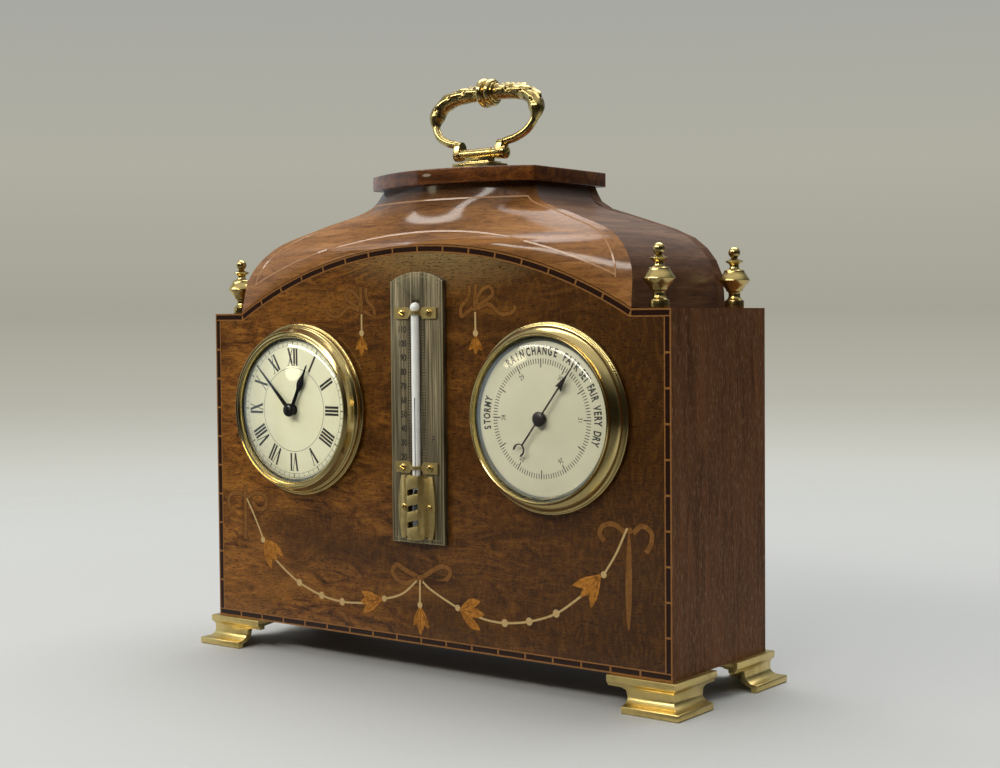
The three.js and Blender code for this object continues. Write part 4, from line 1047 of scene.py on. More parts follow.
@dataclass
class Marquetry:
    """Inlaid swags, bows and husks of the front panel. Points are x and z above the case's underside."""

    string_width: float = 0.95
    bead: float = 1.75
    small_bead: float = 1.45
    husk_width: float = 4.4
    ribbon_width: float = 2.7
    strings: Sequence[Outline] = (
        ((-113.4, 60.1), (-110.6, 55.8), (-107.6, 50.9), (-102.4, 41.4)),
        ((-94.5, 31.8), (-86.2, 26.1), (-77.4, 21.3), (-62.6, 16.5), (-49.2, 14.8), (-34.0, 15.6)),
        ((-22.4, 18.9), (-16.0, 20.4), (-9.9, 23.0), (-2.4, 29.0)),
        ((-0.4, 29.5), (-0.6, 18.1)),
        ((1.2, 29.0), (4.5, 26.6), (11.3, 23.3), (21.7, 19.0)),
        ((31.5, 16.6), (38.8, 15.3), (48.2, 15.1), (61.6, 17.2), (76.0, 22.2), (92.5, 33.4)),
        ((100.6, 41.1), (106.6, 50.0), (112.4, 61.4)),
        ((-34.6, 151.1), (-34.6, 142.2)),
        ((33.2, 151.3), (33.3, 142.0)),
    )
    beads: Outline = ((-77.4, 21.3), (-62.6, 16.5), (-49.2, 14.8), (48.2, 15.1), (61.6, 17.2), (76.0, 22.2))
    small_beads: Outline = ((-102.2, 40.3), (-22.4, 18.9), (-0.6, 18.1), (21.7, 19.0), (100.6, 41.1),
                            (-34.6, 142.2), (33.3, 142.0))
    husks: Sequence[tuple[Point2, Outline]] = (
        ((-100.8, 39.9), ((-88.4, 33.2), (-92.6, 30.6), (-96.2, 26.4))),
        ((-24.2, 18.2), ((-36.6, 21.0), (-37.4, 16.0), (-35.6, 10.8))),
        ((-0.4, 17.4), ((-4.8, 8.2), (-0.3, 4.4), (4.6, 8.0))),
        ((23.4, 18.4), ((34.6, 23.2), (37.0, 17.4), (34.4, 10.4))),
        ((98.9, 40.6), ((84.8, 35.2), (88.6, 30.6), (94.2, 26.4))),
        ((-34.5, 140.8), ((-38.6, 134.4), (-34.8, 131.6), (-31.0, 134.3))),
        ((33.3, 140.9), ((29.5, 134.5), (33.3, 132.6), (37.1, 134.5))),
    )
    ribbons: Sequence[Outline] = (
        ((-113.8, 61.4), (-119.0, 62.4), (-124.8, 61.6), (-126.6, 58.0), (-125.6, 53.6)),
        ((-113.0, 60.8), (-107.5, 63.0), (-101.6, 62.8), (-99.2, 59.4), (-101.2, 56.0), (-105.8, 55.6),
         (-109.6, 59.0)),
        ((-114.4, 66.8), (-114.4, 54.0), (-114.5, 39.5)),
        ((-1.6, 30.3), (-8.4, 27.4), (-14.4, 28.6), (-17.2, 32.4), (-14.6, 35.4), (-8.6, 33.2), (-1.8, 31.0)),
        ((0.6, 30.6), (8.0, 35.0), (13.8, 37.0), (17.6, 35.2), (15.2, 31.2), (8.0, 29.3), (0.8, 29.8)),
        ((111.4, 59.6), (105.6, 62.6), (100.2, 61.4), (98.6, 58.0), (101.2, 55.2)),
        ((115.2, 59.2), (119.6, 62.8), (124.2, 60.2), (123.8, 55.4), (121.4, 51.6)),
    )
    motif: Sequence[Outline] = (
        ((0.2, 0.6), (-0.2, 6.0), (-0.6, 11.2)),
        ((0.0, 0.8), (-3.6, 7.8), (-8.4, 9.6), (-10.2, 6.6), (-6.0, 3.4), (-1.0, 1.0)),
        ((3.0, 10.8), (3.4, 5.4), (7.8, 0.6), (7.6, -3.2), (4.4, -1.6), (1.0, 0.4)),
        ((-1.0, 0.0), (-7.6, 1.8), (-15.0, -2.6), (-21.4, -1.2), (-22.6, 1.4)),
    )
    motif_places: Outline = ((-34.6, 152.6), (33.0, 152.8))

    def petal(self, base: Point2, tip: Point2, width: float, bend: float) -> list[Point2]:
        """One leaf of a husk, widest past its middle and pointed at its end.

        Args:
            base: Where it springs.
            tip: Its point.
            width: Its greatest width.
            bend: How far its middle bows sideways.

        Returns:
            The outline.
        """
        steps = 12
        way = np.array(tip) - np.array(base)
        side = np.array([-way[1], way[0]]) / np.linalg.norm(way)
        line, widths = [], []
        for i in range(steps + 1):
            t = i / steps
            line.append(tuple(np.array(base) + way * t + side * bend * math.sin(math.pi * t)))
            ragged = 1 + 0.1 * math.sin(i * 2.4) * t
            swell = math.sin(math.pi * min(1.0, 0.08 + 0.92 * t**1.3)) ** 0.9
            widths.append(max(0.12, width * ragged * swell))
        return ribbon(line, widths)

    def build(self) -> None:
        """Lays bows, strings, husks and beads, each a little nearer than the last."""
        bands = [ribbon(curved(line), self.ribbon_width) for line in self.ribbons]
        for i, place in enumerate(self.motif_places):
            sign = 1 - 2 * i
            for line in self.motif:
                points = [(place[0] + sign * x, place[1] + z) for x, z in line]
                bands.append(ribbon(curved(points), self.ribbon_width * 0.85))
        bands.append(ribbon(curved([(113.3, 59.0), (113.1, 46.0), (113.0, 36.0), (112.9, 26.0),
                                    (112.8, 18.8)]),
                            [0.9 + 2.9 * math.sin(math.pi * (i / 32) ** 0.8) ** 0.7 for i in range(33)]))
        knots = [disc(p, 1.7) for p in ((-114.0, 61.2), (-0.6, 30.4), (113.5, 60.4))]
        knots += [disc(p, 1.3) for p in self.motif_places]
        self.lay("marquetry_bow_edges", [*bands, *knots], BURNT, 0.1)
        self.lay("marquetry_bows", [inset(outline, 0.26) for outline in (*bands, *knots)], BOW, 0.25)
        lines = [ribbon(curved(line), self.string_width) for line in self.strings]
        self.lay("marquetry_strings", lines, BOXWOOD, 0.45)
        petals, veins = [], []
        for base, tips in self.husks:
            for tip, bend in zip((tips[0], tips[2], tips[1]), (0.7, -0.7, 0.0)):
                length = math.dist(base, tip)
                petals.append(self.petal(base, tip, min(self.husk_width, length * 0.36), bend))
                way = np.array(tip) - np.array(base)
                vein = [tuple(np.array(base) + way * t) for t in (0.12, 0.4, 0.78)]
                veins.append(ribbon(vein, [0.3, 0.22, 0.05]))
        self.lay("marquetry_husks", petals, HUSK, 0.7)
        self.lay("marquetry_husk_veins", veins, BURNT, 0.8)
        dots = [disc(p, self.bead) for p in self.beads] + [disc(p, self.small_bead) for p in self.small_beads]
        self.lay("marquetry_beads", dots, BOXWOOD, 1.0)

    def lay(self, name: str, outlines: Sequence[Outline], finish: Finish, level: float) -> None:
        """Lays veneers that may overlap on the panel as one piece, proud by a share of the inlay's depth."""
        cuts = [moved(sheet(f"{name}_{i}", [raised(outline)], INLAY_DEPTH), (0, -i * OVERLAP_STEP, 0))
                for i, outline in enumerate(outlines)]
        settled(on_panel(joined(name, cuts), INLAY_DEPTH * level), finish, smooth=None)


@dataclass
class Roof:
    """The moulded roof: front and side mouldings meeting in mitres, and the cap."""

    levels: int = 44
    steps: int = 14
    wall: float = 7.0
    neck_top: float = 57.9
    neck_bow: float = 12.0
    cap_half: float = 48.5
    cap_front: float = 24.3
    cap_bow: float = 16.0
    cap_thickness: float = 6.8
    gap: float = 0.3
    mitre: list[Point3] = field(init=False)

    def __post_init__(self) -> None:
        """Works out the mitre line: half width, inset and height over the case's top."""
        half, neck = ARCH_HALF_CHORD, self.neck_top
        self.mitre = [(half, 0, 0), (half - 2.4, 3.6, ARCH_RISE * 0.6), (half - 13.5, 9.1, ARCH_RISE + 1),
                      (half - 39, 16.8, neck - 16.9), (self.cap_half + 1.8, self.cap_front + 0.9, neck - 7.9),
                      (self.cap_half - 3.1, self.cap_front + 4.8, neck)]
        self.neck_front = self.cap_front - self.neck_bow + 0.2
        self.back = high_corner("roof_back_board").y - FRONT_Y

    def section(self, level: float) -> tuple[float, float, float, float, float]:
        """The roof's section at a level from 0, the case's top, to 1, under the cap.

        Args:
            level: The level.

        Returns:
            Half width, mitre inset, height, half width of the plain front and its own inset.
        """
        p = [np.array(q, float) for q in self.mitre]
        p = [2 * p[0] - p[1], *p, 2 * p[-1] - p[-2]]
        place = min(level, 0.999999) * (len(self.mitre) - 1)
        k = int(place)
        half, inset, z = catmull_rom(p[k : k + 4], place - k)
        height = max(0.0, z)
        arch = 0.0
        if z < ARCH_RISE:
            arch = math.sqrt(max(0.0, ARCH_RADIUS**2 - (height + ARCH_RADIUS - ARCH_RISE) ** 2))
        flat = min(max(arch, 0.6), half - 0.05)
        over = max(0.0, (self.neck_top - max(z, ARCH_RISE)) / (self.neck_top - ARCH_RISE))
        centre = self.neck_front * math.sqrt(max(0.0, 1 - over**2)) if z > ARCH_RISE else 0.0
        return half, inset, z, flat, centre

    def front_at(self, x: float, level: float) -> Point3:
        """A point of the front moulding's outer face in the frame.

        Args:
            x: Its place across.
            level: Its level.

        Returns:
            The point.
        """
        half, inset, z, flat, centre = self.section(level)
        share = min(1.0, max(0.0, (abs(x) - flat) / (half - flat)))
        return (x, FRONT_Y + centre + (inset - centre) * share**2, CASE_TOP + z)

    def arch_space(self, name: str) -> Piece:
        """The room that the panel's arch takes out of the mouldings."""
        margin = 5.0
        radius = ARCH_RADIUS + self.gap
        sweep = math.degrees(math.asin(ARCH_HALF_CHORD / ARCH_RADIUS))
        arch = arc((0, ARCH_CENTRE_Z), radius, 90 - sweep, 90 + sweep, 64)
        low = CASE_HEIGHT - margin
        outline = [*arch, (-ARCH_HALF_CHORD - margin, low), (ARCH_HALF_CHORD + margin, low)]
        return moved(sheet(name, [raised(outline)], 6.0 + margin), (0, FRONT_Y - margin, 0))

    def build(self) -> None:
        """Builds the mouldings, their stringing and the cap."""
        self.build_front()
        for name, sign in (("roof_left_side", -1), ("roof_right_side", 1)):
            self.build_side(name, sign)
        self.build_strings()
        self.build_cap()

    def build_front(self) -> None:
        """The front moulding, finer than the CAD node it stands for."""
        rings = []
        for k in range(self.levels + 1):
            half, _, _, flat, _ = self.section(k / self.levels)
            right = [flat + (half - flat) * i / self.steps for i in range(self.steps + 1)]
            inner = [flat * i / 6 for i in range(6)]
            xs = sorted({-x for x in right + inner} | set(right + inner))
            outer = [self.front_at(x, k / self.levels) for x in xs]
            shrink = (half - self.wall) / half
            rings.append([*outer, *[(x * shrink, y + self.wall, z) for x, y, z in reversed(outer)]])
        front = cut_by(skin("roof_front", rings), self.arch_space("arch_room"))
        settled(front, ROOF_FRONT_WOOD, ["roof_front_moulding"], smooth=28)

    def build_side(self, name: str, sign: int) -> None:
        """One side moulding, mitred to the front.

        Args:
            name: The piece's name.
            sign: 1 on the right, -1 on the left.
        """
        mitre_gap = 0.05
        rings = []
        for k in range(self.levels + 1):
            half, inset, z, _, _ = self.section(k / self.levels)
            rings.append([(sign * x, FRONT_Y + y, CASE_TOP + z) for x, y in (
                (half, inset + mitre_gap), (half, self.back - self.wall),
                (half - self.wall, self.back - self.wall),
                (half - self.wall, inset + self.wall + mitre_gap))])
        side = cut_by(skin(name, rings), self.arch_space("arch_room"))
        node = {1: "roof_right_moulding", -1: "roof_left_moulding"}[sign]
        settled(side, ROOF_SIDE_WOOD, [node], smooth=28)

    def string(self, points: Sequence[Point3]) -> Piece:
        """A light line let into the roof's face along points on it.

        Args:
            points: The points, from the left to the right.

        Returns:
            The line, a hair proud of the wood.
        """
        half, proud, sunk = 0.4, 0.09, -0.3
        p = np.array(points, float)
        along = np.gradient(p, axis=0)
        along /= np.linalg.norm(along, axis=1, keepdims=True)
        facing = np.array([0.0, -1.0, 0.35])
        side = np.cross(along, facing)
        side /= np.linalg.norm(side, axis=1, keepdims=True)
        out = np.cross(side, along)
        out *= np.sign(out @ facing)[:, None]
        corners = ((half, proud), (-half, proud), (-half, sunk), (half, sunk))
        rings = [[tuple(q + s * across + o * up) for across, up in corners] for q, s, o in zip(p, side, out)]
        return skin("roof_string", rings)

    def level_at(self, height: float) -> float:
        """The level whose height over the case's top is the given one."""
        low, high = 0.0, 1.0
        for _ in range(30):
            mid = (low + high) / 2
            low, high = (mid, high) if self.section(mid)[2] < height else (low, mid)
        return low

    def build_strings(self) -> None:
        """The panel of light lines: over the arch, up beside both mitres and across the neck."""
        foot, head = self.level_at(13.0), self.level_at(self.neck_top - 7.0)
        edge = 7.5
        flank = []
        for i in range(41):
            level = foot + (head - foot) * i / 40
            half = self.section(level)[0]
            taper = edge * (1 - 0.45 * i / 40)
            flank.append((half - taper, level))
        x_head = flank[-1][0]
        left = [self.front_at(-x, level) for x, level in flank]
        right = [self.front_at(x, level) for x, level in flank]
        across = [self.front_at(x_head * (i / 20 - 1), head) for i in range(41)]
        x_foot = flank[0][0]
        over = []
        for i in range(81):
            x = x_foot * (i / 40 - 1)
            above = 6.3 + 2.2 * abs(x / x_foot) ** 2
            height = math.sqrt((ARCH_RADIUS + above) ** 2 - x**2) - ARCH_RADIUS + ARCH_RISE
            low_end = self.section(foot)[2]
            over.append(self.front_at(x, self.level_at(low_end + max(0.0, height - low_end))))
        lines = joined("roof_stringing", [self.string(line) for line in (left, across, right, over)])
        settled(lines, ROOF_STRING, smooth=None)

    def build_cap(self) -> None:
        """The cap: a bowed slab with softly worn edges."""
        back = high_corner("roof_cap").y - FRONT_Y
        bow = [(self.cap_half * (i / 24 - 1), self.cap_front - self.cap_bow * (1 - (i / 24 - 1) ** 2))
               for i in range(49)]
        outline = [*bow, (self.cap_half, back), (-self.cap_half, back)]
        z = CASE_TOP + self.neck_top
        rings = [[(x, FRONT_Y + y, z + h) for x, y in outline] for h in (0, self.cap_thickness)]
        cap = eased(skin("cap_slab", rings), 0.5, 3, 40)
        settled(cap, CAP_WOOD, ["roof_cap"], smooth=30)


@dataclass
class Foot:
    """A cast brass bracket foot, moulded and mitred at the corner."""

    height: float = 14.3
    arm: float = 30.5
    base: float = 20.6
    spread: float = 7.0
    band: float = 1.6
    lip: float = 3.0
    shelf: float = 10.0
    rim: float = 4.6

    def section(self) -> list[Point2]:
        """The moulding's section as (reach beyond the case, height)."""
        h = self.height
        fascia = [(self.lip - 0.3, h), (self.lip, h - 0.3), (self.lip, h - 2.2), (self.lip - 0.12, h - 2.75),
                  (self.lip - 0.45, h - 3.25), (self.lip - 0.85, h - 3.7)]
        cove_width, cove_height = self.spread - 0.5 - self.band, 3.7
        cove = [(self.band + cove_width * (1 - math.cos(a)), h - 7.4 - cove_height * math.sin(a))
                for a in (math.radians(9 * i) for i in range(11))]
        slab = [(self.spread - 0.15, h - 11.25), (self.spread, h - 11.6), (self.spread, 0.5),
                (self.spread - 0.5, 0.0)]
        inside = [(self.spread - 3, 0.0), (self.spread - 3, h - 12.4), (self.band - 3, h - 10.2),
                  (self.band - 3, h - 3), (-self.shelf, h - 2), (-self.shelf, h)]
        return [(0, h), *fascia, (self.band + 0.2, h - 4.3), (self.band + 0.03, h - 5.2),
                *cove, *slab, *inside]

    def build(self) -> Piece:
        """The foot for the front right corner, with the case's corner at the origin."""
        section = self.section()
        stations = ([(-self.arm, -r, z) for r, z in section], [(r, -r, z) for r, z in section],
                    [(r, self.arm, z) for r, z in section])
        foot = skin("foot", stations)
        beyond = self.arm + self.shelf
        h, b = self.height, -self.base
        under = [(-beyond, h - self.rim), (b - 3.6, h - self.rim), (b - 2.4, h - self.rim - 0.3),
                 *arc((b - 2.0, h - self.rim - 1.9), 1.3, 90, 0, 5), (b - 0.5, h - 7.6), (b, h - 8.6),
                 (b, -1), (-beyond, -1)]
        for turn in (0, -90):
            cutter = sheet("arm_cut", [under], 2 * self.shelf)
            cutter.data.transform(Matrix.Rotation(math.radians(turn), 4, "Z")
                                  @ Matrix.Translation((0, -self.shelf, 0)))
            cut_by(foot, cutter)
        return eased(closed_up(foot), 0.25, 2, 50)

    def build_all(self) -> None:
        """The four feet: one is modelled, the others are its mirrored copies."""
        first = self.build()
        back_y = high_corner("back_frame").y
        corners = (("front_right", 1, 1, FRONT_Y), ("front_left", -1, 1, FRONT_Y),
                   ("back_right", 1, -1, back_y), ("back_left", -1, -1, back_y))
        for corner, sx, sy, y in corners:
            foot = duplicate(first, f"{corner}_bracket_foot")
            foot.data.transform(Matrix.Translation((sx * HALF_WIDTH, y, 0)) @ Matrix.Diagonal((sx, sy, 1, 1)))
            settled(closed_up(foot), FOOT_BRASS, [f"{corner}_foot"], smooth=32)
        bpy.data.objects.remove(first)


@dataclass
class Finial:
    """A turned brass finial on a stud."""

    ball: float = 2.6
    height: float = 27.0

    def build_all(self) -> None:
        """Turns one finial and sets a copy on each corner."""
        ball_z = self.height - self.ball
        ball = [(self.ball * math.cos(math.radians(a)), ball_z + self.ball * math.sin(math.radians(a)))
                for a in range(-62, 90, 14)]
        profile = [(0, -6), (1.5, -6), (1.5, 0), (3.9, 0), (4.15, 0.25), (4.2, 0.7), (4.2, 2.9), (4.05, 3.4),
                   (3.5, 3.75), (2.9, 4.3), (2.55, 5.2), (2.55, 6.6), (2.9, 7.2), (3.5, 7.5), (3.65, 7.9),
                   (3.8, 8.4), (5.2, 10.1), (6.55, 11.75), (6.8, 12.2), (6.7, 12.6), (5.5, 14.4), (4.5, 15.9),
                   (4.45, 16.4), (4.15, 16.75), (3.2, 16.9), (2.4, 17.3), (2.0, 18.1), (2.05, 18.9),
                   (2.6, 19.6),
                   (3.6, 20.1), (3.9, 20.45), (3.75, 20.8), (2.6, 21.2), (1.8, 21.7), (1.45, 22.1), *ball,
                   (0, self.height)]
        first = turning("finial", profile, Axis.Z, 48)
        for corner in ("front_left", "front_right", "back_left", "back_right"):
            centre = middle_of(f"{corner}_finial")
            finial = duplicate(first, f"{corner}_turned_finial")
            moved(finial, (centre.x, centre.y, CASE_TOP))
            settled(finial, POLISHED_BRASS, [f"{corner}_finial"], smooth=34)
        bpy.data.objects.remove(first)


@dataclass
class Handle:
    """The carrying handle: a stepped pedestal with a barrel, and a bail chased with leaves."""

    half_width: float = 30.2
    height: float = 30.4
    limb: float = 1.9
    grip: float = 3.8
    lean: float = 13.7
    barrel: float = 2.6
    barrel_half: float = 10.7
    lug: float = 3.3
    lug_radius: float = 2.9
    lug_top: float = 6.5
    pivot_height: float = 9.7
    pedestal: Point3 = (11.1, 7.5, 5.1)
    step: float = 2.2
    step_top: float = 5.9
    gap: float = 0.3
    sides: int = 36
    rings: int = 220

    def __post_init__(self) -> None:
        """Finds the pivot from the CAD nodes."""
        pin = middle_of("handle_pivot_screw")
        self.pivot = Vector((0.0, pin.y, pin.z))

    def centre_line(self) -> list[Point3]:
        """The bail's middle line from its left lug to its right, about the pivot."""
        w, h = self.half_width, self.height
        middle = self.barrel_half + self.gap + self.lug / 2
        right = [(middle, self.lug_top * 0.3), (middle + 1, self.lug_top * 0.72), (w * 0.67, h * 0.22),
                 (w * 0.86, h * 0.32), (w * 0.97, h * 0.47), (w, h * 0.63), (w * 0.93, h * 0.81),
                 (w * 0.73, h * 0.94), (w * 0.38, h * 0.995)]
        all_points = [(-x, z) for x, z in right] + [(0, h)] + list(reversed(right))
        line = np.array(curved(all_points, 24))
        lengths = np.concatenate([[0], np.cumsum(np.linalg.norm(np.diff(line, axis=0), axis=1))])
        places = np.linspace(0, lengths[-1], self.rings + 1)
        return [(float(np.interp(s, lengths, line[:, 0])), float(np.interp(s, lengths, line[:, 1])), float(s))
                for s in places]

    def leaf_height(self, along: float, around: float, radius: float) -> float:
        """Relief of the overlapping leaves chased on the grip.

        Args:
            along: Distance from the collar in millimetres.
            around: Angle round the bail, 0 on its outer side.
            radius: Radius of the bail there.

        Returns:
            Height from 0, between leaves, to 1, on a leaf's edge.
        """
        row_pitch, length, count = 4.6, 7.8, 4
        best = 0.0
        for row in range(-1, 7):
            v = (along - row * row_pitch) / length
            if not 0 <= v <= 1:
                continue
            offset = math.pi / count * (row % 2)
            cell = 2 * math.pi / count
            lateral = abs((around - offset + cell / 2) % cell - cell / 2) * radius
            half = cell * radius * 0.56 * math.sin(math.pi * min(1.0, 0.3 + 0.7 * v)) ** 0.6
            half *= 1 - 0.16 * abs(math.sin(v * math.pi * 3.5))
            if half < 0.05 or lateral > half:
                continue
            share = lateral / half
            rise = (0.3 + 0.7 * v) * (1 - 0.55 * share**3)
            rib = 0.16 * math.exp(-((lateral / 0.28) ** 2))
            vein = 0.09 * math.cos((lateral * 0.9 - v * length) * 5.2) * (share < 0.9)
            best = max(best, rise + rib * (v < 0.92) + vein)
        return best

    def build_bail(self) -> None:
        """The bail with its relief, its lugs and the collar, leaning as it rests."""
        line = self.centre_line()
        total = line[-1][2]
        top = self.height
        rings, hollows = [], []
        for i, (x, z, s) in enumerate(line):
            before, after = line[max(i - 1, 0)], line[min(i + 1, len(line) - 1)]
            tangent = np.array([after[0] - before[0], after[1] - before[1]])
            tangent /= np.linalg.norm(tangent)
            rise = min(1.0, max(0.0, (z / top - 0.5) / 0.16))
            radius = self.limb + (self.grip - self.limb) * rise
            from_collar = abs(s - total / 2) - 4.2
            chased = min(1.0, max(0.0, (31.0 - from_collar) / 4.0)) if rise > 0.02 else 0.0
            ring = []
            for k in range(self.sides):
                a = 2 * math.pi * k / self.sides
                relief = self.leaf_height(from_collar, a, radius) * chased
                depth = 0.62 + 0.38 * math.cos(a)
                r = radius - 1.0 * chased * depth + 1.45 * relief * depth
                hollows.append(max(0.0, 1 - relief * 1.25) * chased * (0.6 + 0.4 * depth))
                out = r * math.cos(a)
                ring.append((x - out * tangent[1], r * math.sin(a), z + out * tangent[0]))
            rings.append(ring)
        bail = skin("chased_bail", rings)
        collar = moved(self.collar(), (0, 0, self.height))
        lugs = [self.lug_plate(side) for side in (-1, 1)]
        bore = turning("bore", [(0, -12.5), (1.5, -12.5), (1.5, 16), (0, 16)], Axis.X, 24)
        lugs = cut_by(joined("lugs", lugs), bore)
        self.mark_hollows(bail, rings, hollows)
        whole = joined("chased_bail", [bail, collar, lugs])
        whole.data.transform(Matrix.Translation(self.pivot)
                             @ Matrix.Rotation(math.radians(-self.lean), 4, "X"))
        settled(whole, CAST_BRASS, ["handle_bail"], 40, "handle")

    def mark_hollows(self, bail: Piece, rings: Sequence[Sequence[Point3]], hollows: Sequence[float]) -> None:
        """Writes how deep each point of the relief lies, for the patina.

        Args:
            bail: The piece.
            rings: The points it was made from.
            hollows: One value for each of them.
        """
        values = {tuple(round(c, 3) for c in p): v
                  for p, v in zip((q for ring in rings for q in ring), hollows)}
        attribute = bail.data.attributes.new("hollow", "FLOAT", "POINT")
        for vertex, datum in zip(bail.data.vertices, attribute.data):
            datum.value = values.get(tuple(round(c, 3) for c in vertex.co), 0.0)

    def collar(self) -> Piece:
        """The turned collar in the middle of the grip."""
        profile = [(0, -5), (4.2, -5), (4.6, -4.7), (4.8, -4.3), (4.7, -4.0),
                   *arc((5.0, -1.75), 2.05, -90, 90, 12), (5.15, 0.5), *arc((4.7, 2.4), 1.8, -80, 90, 12),
                   (4.6, 4.4), (4.8, 4.7), (4.4, 5), (0, 5)]
        return turning("grip_collar", profile, Axis.X, 48)

    def lug_plate(self, side: int) -> Piece:
        """One lug of the bail, round at both ends.

        Args:
            side: 1 on the right, -1 on the left.

        Returns:
            The lug about the pivot.
        """
        r, top = self.lug_radius, self.lug_top - self.lug_radius
        outline = [*arc((0, top), r, 0, 180, 14), *arc((0, 0), r, 180, 360, 14)]
        plate = sheet("lug", [outline], self.lug)
        inner = self.barrel_half + self.gap
        start = inner if side > 0 else -inner - self.lug
        plate.data.transform(Matrix.Translation((start, 0, 0)) @ Matrix.Rotation(-math.pi / 2, 4, "Z"))
        return eased(plate, 0.35, 3, 40)

    def build_bracket(self) -> None:
        """The stepped pedestal, its web and the barrel with a ring groove."""
        px, py, top = self.pedestal
        base_z = self.pivot.z - self.pivot_height
        pedestal = eased(block("pedestal", (-px, -py, 0), (px, py, top)), 0.5, 3)
        step = eased(block("step", (-px + self.step, -py + self.step, top - 1),
                           (px - self.step, py - self.step, self.step_top)), 0.35, 2)
        web = block("web", (-self.barrel_half * 0.7, -self.barrel * 0.8, top),
                    (self.barrel_half * 0.7, self.barrel * 0.8, self.pivot_height))
        r, half = self.barrel, self.barrel_half
        profile = [(1.5, -half), (r - 0.3, -half), (r, -half + 0.3), (r, half - 2.9), (r - 0.45, half - 2.7),
                   (r - 0.45, half - 2.3), (r, half - 2.1), (r, half - 0.3), (r - 0.3, half), (1.5, half),
                   (1.5, -half)]
        barrel = moved(turning("barrel", profile, Axis.X, 40), (0, 0, self.pivot_height))
        bracket = joined("handle_pedestal", [pedestal, step, eased(web, 0.4, 2), barrel])
        moved(bracket, (0, self.pivot.y, base_z))
        settled(bracket, POLISHED_BRASS, ["handle_bracket"], smooth=34)

    def build_screw(self) -> None:
        """The through screw with its domed, slotted head on the right."""
        out = self.barrel_half + self.gap + self.lug
        head = ScrewHead(3.2, 2.2, 0.9, -35).build("screw_head")
        head.data.transform(Matrix.Translation((out + self.gap, 0, 0)) @ Matrix.Rotation(math.pi / 2, 4, "Z"))
        shank = turning("shank", [(0, -12.7), (1.2, -12.7), (1.2, out + 0.4), (0, out + 0.4)], Axis.X, 24)
        screw = joined("handle_screw", [head, shank])
        moved(screw, self.pivot)
        settled(screw, POLISHED_BRASS, ["handle_pivot_screw"], smooth=34)

    def build(self) -> None:
        """Builds the whole handle."""
        self.build_bracket()
        self.build_bail()
        self.build_screw()


@dataclass
class Instrument:
    """A bezel with a domed glass round a dial, the same for both instruments."""

    name: str
    bore: float = 36.3
    sight: float = 34.4
    seat: float = -7.6
    dial_front: float = -6.2
    glass_rise: float = 5.4
    glass_thickness: float = 0.5
    liner: float = 33.0
    slopes: Outline = ()
    rim: Outline = ()

    def __post_init__(self) -> None:
        """Finds the dial's axis."""
        centre = middle_of(f"{self.name}_dial")
        self.centre = (centre.x, centre.z)

    def at_axis(self, piece: Piece) -> Piece:
        """Moves a piece made about the dial's axis to its place."""
        return moved(piece, (self.centre[0], FRONT_Y, self.centre[1]))

    def build_bezel(self) -> None:
        """Spins the moulded bezel and the glass."""
        bead = arc((40.45, -1.95), 0.75, 75, -95, 10)
        profile = [(self.bore, 0), (39.8, 0), (39.8, -1.1), *bead, *self.rim, (self.sight, -7.9),
                   (self.sight, self.seat), (self.bore, self.seat), (self.bore, 0)]
        bezel = turning(f"{self.name}_moulded_bezel", profile, Axis.Y, 128)
        settled(self.at_axis(bezel), SPUN_BRASS, [f"{self.name}_bezel"], smooth=30)

        outer = self.dome()
        inner = [(max(0.0, r - 0.45 * min(1.0, r / 20)), y + self.glass_thickness) for r, y in outer]
        edge = 35.9
        flange = self.seat + self.glass_thickness
        profile = [*reversed(outer), (edge, self.seat), (edge, flange), *inner]
        glass = turning(f"{self.name}_domed_glass", profile, Axis.Y, 128)
        settled(self.at_axis(glass), CLEAR_GLASS, [f"{self.name}_glass"], smooth=40)
        glass.visible_shadow = False
        top = self.seat + self.glass_thickness + 0.06
        section = [(self.liner, self.dial_front - 0.04), (self.sight - 0.25, top), (self.sight, top),
                   (self.sight, self.dial_front - 0.04), (self.liner, self.dial_front - 0.04)]
        liner = turning(f"{self.name}_sight_liner", section, Axis.Y, 96)
        settled(self.at_axis(liner), LINER_PAINT)

    def dome(self) -> list[Point2]:
        """The glass's outer line from its foot to its middle, from its slopes along the radius."""
        radii, slopes = zip(*self.slopes)
        steps, foot = 90, self.sight - 0.3
        y, line = self.seat - self.glass_rise, []
        for i in range(steps + 1):
            r = foot * i / steps
            line.append((r, y))
            y += math.tan(math.radians(float(np.interp(r, radii, slopes)))) * foot / steps
        return [(foot, self.seat), *reversed(line)]

    def printed(self, name: str, parts: Sequence[Piece], finish: Finish) -> None:
        """Prints flat parts, made about the dial's axis, on the dial as one piece."""
        place = (self.centre[0], FRONT_Y + self.dial_front - PRINT_DEPTH, self.centre[1])
        settled(moved(joined(name, parts), place), finish, smooth=None)

    def ticks(self, count: int, inner: float, outer: float, width: float, skip: int = 0) -> Piece:
        """Radial marks in equal steps of a turn, left out at multiples of skip where that isn't 0."""
        mark = rectangle(-width / 2, width / 2, inner, outer)
        return sheet("marks", [turned(mark, 360 * i / count) for i in range(count) if not skip or i % skip])

    def ring(self, radius: float, width: float) -> Piece:
        """A printed circle."""
        return sheet("ring", [disc((0, 0), radius + side * width / 2, 96) for side in (1, -1)])


